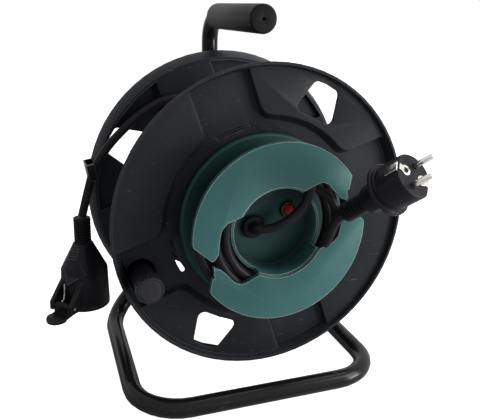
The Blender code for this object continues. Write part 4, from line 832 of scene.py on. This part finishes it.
class REEL_OT_lead_store(bpy.types.Operator):
    """Green bowl and storage plate, grommet and reset button"""
    bl_idname = "reel.lead_store"
    bl_label = "Lead store"

    def execute(self, context):
        dress("lead_bowl", sizes().edge, bowl_plastic(), "drum")
        dress("storage_plate", sizes().plate_edge, plate_plastic(), "drum")
        dress("lead_grommet", 0.5 * MM, grip_rubber(), "drum")
        dress("cutout_bezel", 0.4 * MM, bowl_plastic(), "drum")
        dress("reset_button", 0.8 * MM, button_plastic(), "button")
        return {"FINISHED"}


class REEL_OT_knob(bpy.types.Operator):
    """Fluted winding knob on its sliding shank"""
    bl_idname = "reel.knob"
    bl_label = "Knob"

    def execute(self, context):
        dress("winding_knob", 0.35 * MM, plug_plastic(), "knob")
        dress("knob_cap", 0.4 * MM, cap_plastic(), "knob")
        dress("knob_shank", 0.4 * MM, fitting_plastic(), "knob_carrier")
        finish_nodes(zinc_steel(), "knob_stop_clip")
        return {"FINISHED"}


TUBE_SHARP = math.radians(40.0)      # the tube's end faces meet its wall at more than this


class REEL_OT_stand(bpy.types.Operator):
    """Bent tube, grip, end cap, bracket and axle"""
    bl_idname = "reel.stand"
    bl_label = "Stand"

    def execute(self, context):
        tube = dress("frame_tube", 0.0, tube_paint(), "frame")
        tube.data.set_sharp_from_angle(angle=TUBE_SHARP)
        dress("handle_grip", 0.8 * MM, grip_rubber(), "frame")
        dress("foot_end_cap", 0.5 * MM, fitting_plastic(), "frame")
        dress("axle_bracket", 0.8 * MM, fitting_plastic(), "frame")
        finish_nodes(zinc_steel(), "axle", "axle_washer", "axle_clip", "bracket_bolt_1", "bracket_bolt_2",
                     "bracket_nut_1", "bracket_nut_2")
        return {"FINISHED"}


COUPLER_TOP = (-0.1493, 0.1172, -0.0200)
COUPLER_TURN = math.radians(-47.0)

# Corners of the raised facet between the lid's ears, in millimetres in the coupler's own frame, each with
# its height over the shell: two upper corners, the ends of the ridge and the lower point.
FACET = [((-7.3, -16.6, -44.6), 0.2), ((8.8, -16.2, -44.6), 0.2), ((15.8, -16.2, -52.0), 0.7),
         ((0.4, -22.7, -64.3), 4.2), ((-8.1, -19.9, -51.6), 0.7)]
FACET_OUTWARD = Vector((0.05, -0.97, 0.25))
FACET_ROOT = 2.0
FINGER_RIBS = 6
FINGER_RIB_TOP = (-1.7, -9.3, -28.0)
FINGER_RIB_SIZE = (12.0, 1.2, 0.9)   # widest, out of the shell and up
FINGER_RIB_PITCH = 2.4
FINGER_RIB_SLOPE = 0.47   # how far the shell comes forward for each millimetre down


class REEL_OT_coupler(bpy.types.Operator):
    """Coupler on the main cable with its sprung lid, and the clip on the rim"""
    bl_idname = "reel.coupler"
    bl_label = "Coupler"

    @staticmethod
    def facet(work):
        """A low wedge that rises to its lower point."""
        tops = [work.verts.new(Vector(spot) + FACET_OUTWARD * height) for spot, height in FACET]
        roots = [work.verts.new(Vector(spot) - FACET_OUTWARD * FACET_ROOT) for spot, _ in FACET]
        work.faces.new((tops[0], tops[1], tops[2], tops[4]))
        work.faces.new((tops[4], tops[2], tops[3]))
        work.faces.new(roots)
        for i, top in enumerate(tops):
            after = (i + 1) % len(tops)
            work.faces.new((top, tops[after], roots[after], roots[i]))

    @staticmethod
    def finger_ribs(work):
        """Short ribs across the shell, in an oval."""
        tilt = Matrix.Rotation(math.atan(FINGER_RIB_SLOPE), 4, "X")
        middle = (FINGER_RIBS - 1) / 2
        for i in range(FINGER_RIBS):
            width = FINGER_RIB_SIZE[0] * math.sqrt(1 - ((i - middle) / (middle + 1)) ** 2)
            down = i * FINGER_RIB_PITCH
            spot = Vector(FINGER_RIB_TOP) + Vector((0, -down * FINGER_RIB_SLOPE, -down))
            shape = Matrix.Translation(spot) @ tilt @ Matrix.Diagonal((width, *FINGER_RIB_SIZE[1:], 1.0))
            bmesh.ops.create_cube(work, size=1.0, matrix=shape)

    def raised(self, name, build):
        """A detail moulded on the coupler's shell."""
        detail = new_piece(name, mesh_from(name, build))
        place = Matrix.Translation(base_point(*COUPLER_TOP)) @ Matrix.Rotation(COUPLER_TURN, 4, "Z")
        detail.data.transform(place @ Matrix.Scale(MM, 4))
        round_edges(detail, 0.15 * MM, 2)
        return seat(paint(detail, cap_plastic()), "frame")

    def execute(self, context):
        dress("coupler_body", 0.8 * MM, plug_plastic(), "frame")
        dress("coupler_sleeve", 0.25 * MM, grip_rubber(), "frame")
        dress("coupler_face", 0.3 * MM, fitting_plastic(), "frame")
        dress("cable_clip", 0.4 * MM, fitting_plastic(), "frame")
        dress("coupler_lid", 0.5 * MM, fitting_plastic(), "lid")
        finish_nodes(zinc_steel(), "lid_hinge_pin", "lid_spring")
        raised = [self.raised("coupler_facet", self.facet),
                  self.raised("coupler_finger_ribs", self.finger_ribs)]
        line = tail_line()
        tuple(line[0])
        line_length(line)
        return {"FINISHED"}


PLUG_START = (0.0550, -0.0427, 0.0167)
PLUG_DIRECTION = Vector((0.292, -0.750, 0.594)).normalized()
PIN_DIRECTION = Vector((-0.447, -0.656, -0.609))
PLUG_FACE = 0.0768

# The earth clip's end on the plug's face, in millimetres from the face's middle.
CLIP_HOLE = 8.6
CLIP_HOLE_RADIUS = 2.4
CLIP_EYE_RADIUS = 4.4
CLIP_FOOT = 15.4
CLIP_FOOT_FROM = -0.85   # the eye's points below this share of its radius run out to the foot
CLIP_THICKNESS = 0.4
CLIP_POINTS = 32


class REEL_OT_plug(bpy.types.Operator):
    """Plug on the supply lead"""
    bl_idname = "reel.plug"
    bl_label = "Plug"

    @staticmethod
    def clip_end(work):
        """A flat eye with a foot that runs out to the plug's flat."""
        rings = []
        for z in (0.0, CLIP_THICKNESS):
            outer, inner = [], []
            for i in range(CLIP_POINTS):
                angle = 2 * math.pi * i / CLIP_POINTS
                x, y = math.cos(angle), math.sin(angle)
                reach = (CLIP_FOOT - CLIP_HOLE) / -y if y < CLIP_FOOT_FROM else CLIP_EYE_RADIUS
                outer.append(work.verts.new((x * reach, y * reach - CLIP_HOLE, z)))
                inner.append(work.verts.new((x * CLIP_HOLE_RADIUS, y * CLIP_HOLE_RADIUS - CLIP_HOLE, z)))
            rings.append((outer, inner))
        (low_out, low_in), (high_out, high_in) = rings
        for i in range(CLIP_POINTS):
            j = (i + 1) % CLIP_POINTS
            work.faces.new((low_in[i], low_in[j], low_out[j], low_out[i]))
            work.faces.new((high_out[i], high_out[j], high_in[j], high_in[i]))
            work.faces.new((low_out[i], low_out[j], high_out[j], high_out[i]))
            work.faces.new((high_in[i], high_in[j], low_in[j], low_in[i]))

    def clip_ends(self):
        """Both ends of the earth clip, opposite each other and square to the pins' row."""
        apart = (PIN_DIRECTION - PIN_DIRECTION.dot(PLUG_DIRECTION) * PLUG_DIRECTION).normalized()
        side = PLUG_DIRECTION.cross(apart)
        middle = base_point(*PLUG_START) + PLUG_DIRECTION * PLUG_FACE
        for name, way in (("a", -1), ("b", 1)):
            axes = Matrix((way * apart, way * side, PLUG_DIRECTION)).transposed().to_4x4()
            clip = new_piece(f"plug_clip_end_{name}", mesh_from(f"plug_clip_end_{name}", self.clip_end))
            clip.data.transform(Matrix.Translation(middle) @ axes @ Matrix.Scale(MM, 4))
            round_edges(clip, 0.1 * MM, 2)
            yield seat(paint(clip, bright_nickel()), "drum")

    def execute(self, context):
        body = paint(softened("plug_body", 0.6 * MM), plug_plastic(), hatched_plastic())
        for side in body.data.polygons:
            along = (side.center - base_point(*PLUG_START)).dot(PLUG_DIRECTION)
            if side.normal.dot(PLUG_DIRECTION) > FACING and along > PLUG_FACE - 1 * MM:
                side.material_index = 1
        seat(body, "drum")
        clips = list(self.clip_ends())
        dress("plug_sleeve", 0.25 * MM, grip_rubber(), "drum")
        for node in ("plug_pin_1", "plug_pin_2", "plug_earth_contact_a", "plug_earth_contact_b"):
            dress(node, 0.2 * MM, bright_nickel(), "drum")
        line = lead_line()
        tuple(line[0])
        line_length(line)
        return {"FINISHED"}


class REEL_PT_panel(bpy.types.Panel):
    """Lists the steps in the 3D view's sidebar"""
    bl_idname = "REEL_PT_panel"
    bl_label = "Extension Cord Reel"
    bl_space_type = "VIEW_3D"
    bl_region_type = "UI"
    bl_category = "Reel"

    def draw(self, context):
        for step in STEPS:
            self.layout.operator(step.bl_idname)


STEPS = (REEL_OT_stage, REEL_OT_cords, REEL_OT_drum, REEL_OT_lead_store, REEL_OT_knob, REEL_OT_stand,
         REEL_OT_coupler, REEL_OT_plug)
CLASSES = (ReelColours, ReelSizes, ReelStudio, *STEPS, REEL_PT_panel)


def register():
    for kind in CLASSES:
        bpy.utils.register_class(kind)
    bpy.types.Scene.reel_colours = PointerProperty(type=ReelColours)
    bpy.types.Scene.reel_sizes = PointerProperty(type=ReelSizes)
    bpy.types.Scene.reel_studio = PointerProperty(type=ReelStudio)


def unregister():
    del bpy.types.Scene.reel_colours, bpy.types.Scene.reel_sizes, bpy.types.Scene.reel_studio
    for kind in reversed(CLASSES):
        bpy.utils.unregister_class(kind)


def main():
    register()
    for step in STEPS:
        group, name = step.bl_idname.split(".")
        getattr(getattr(bpy.ops, group), name)()


if __name__ == "__main__":
    main()
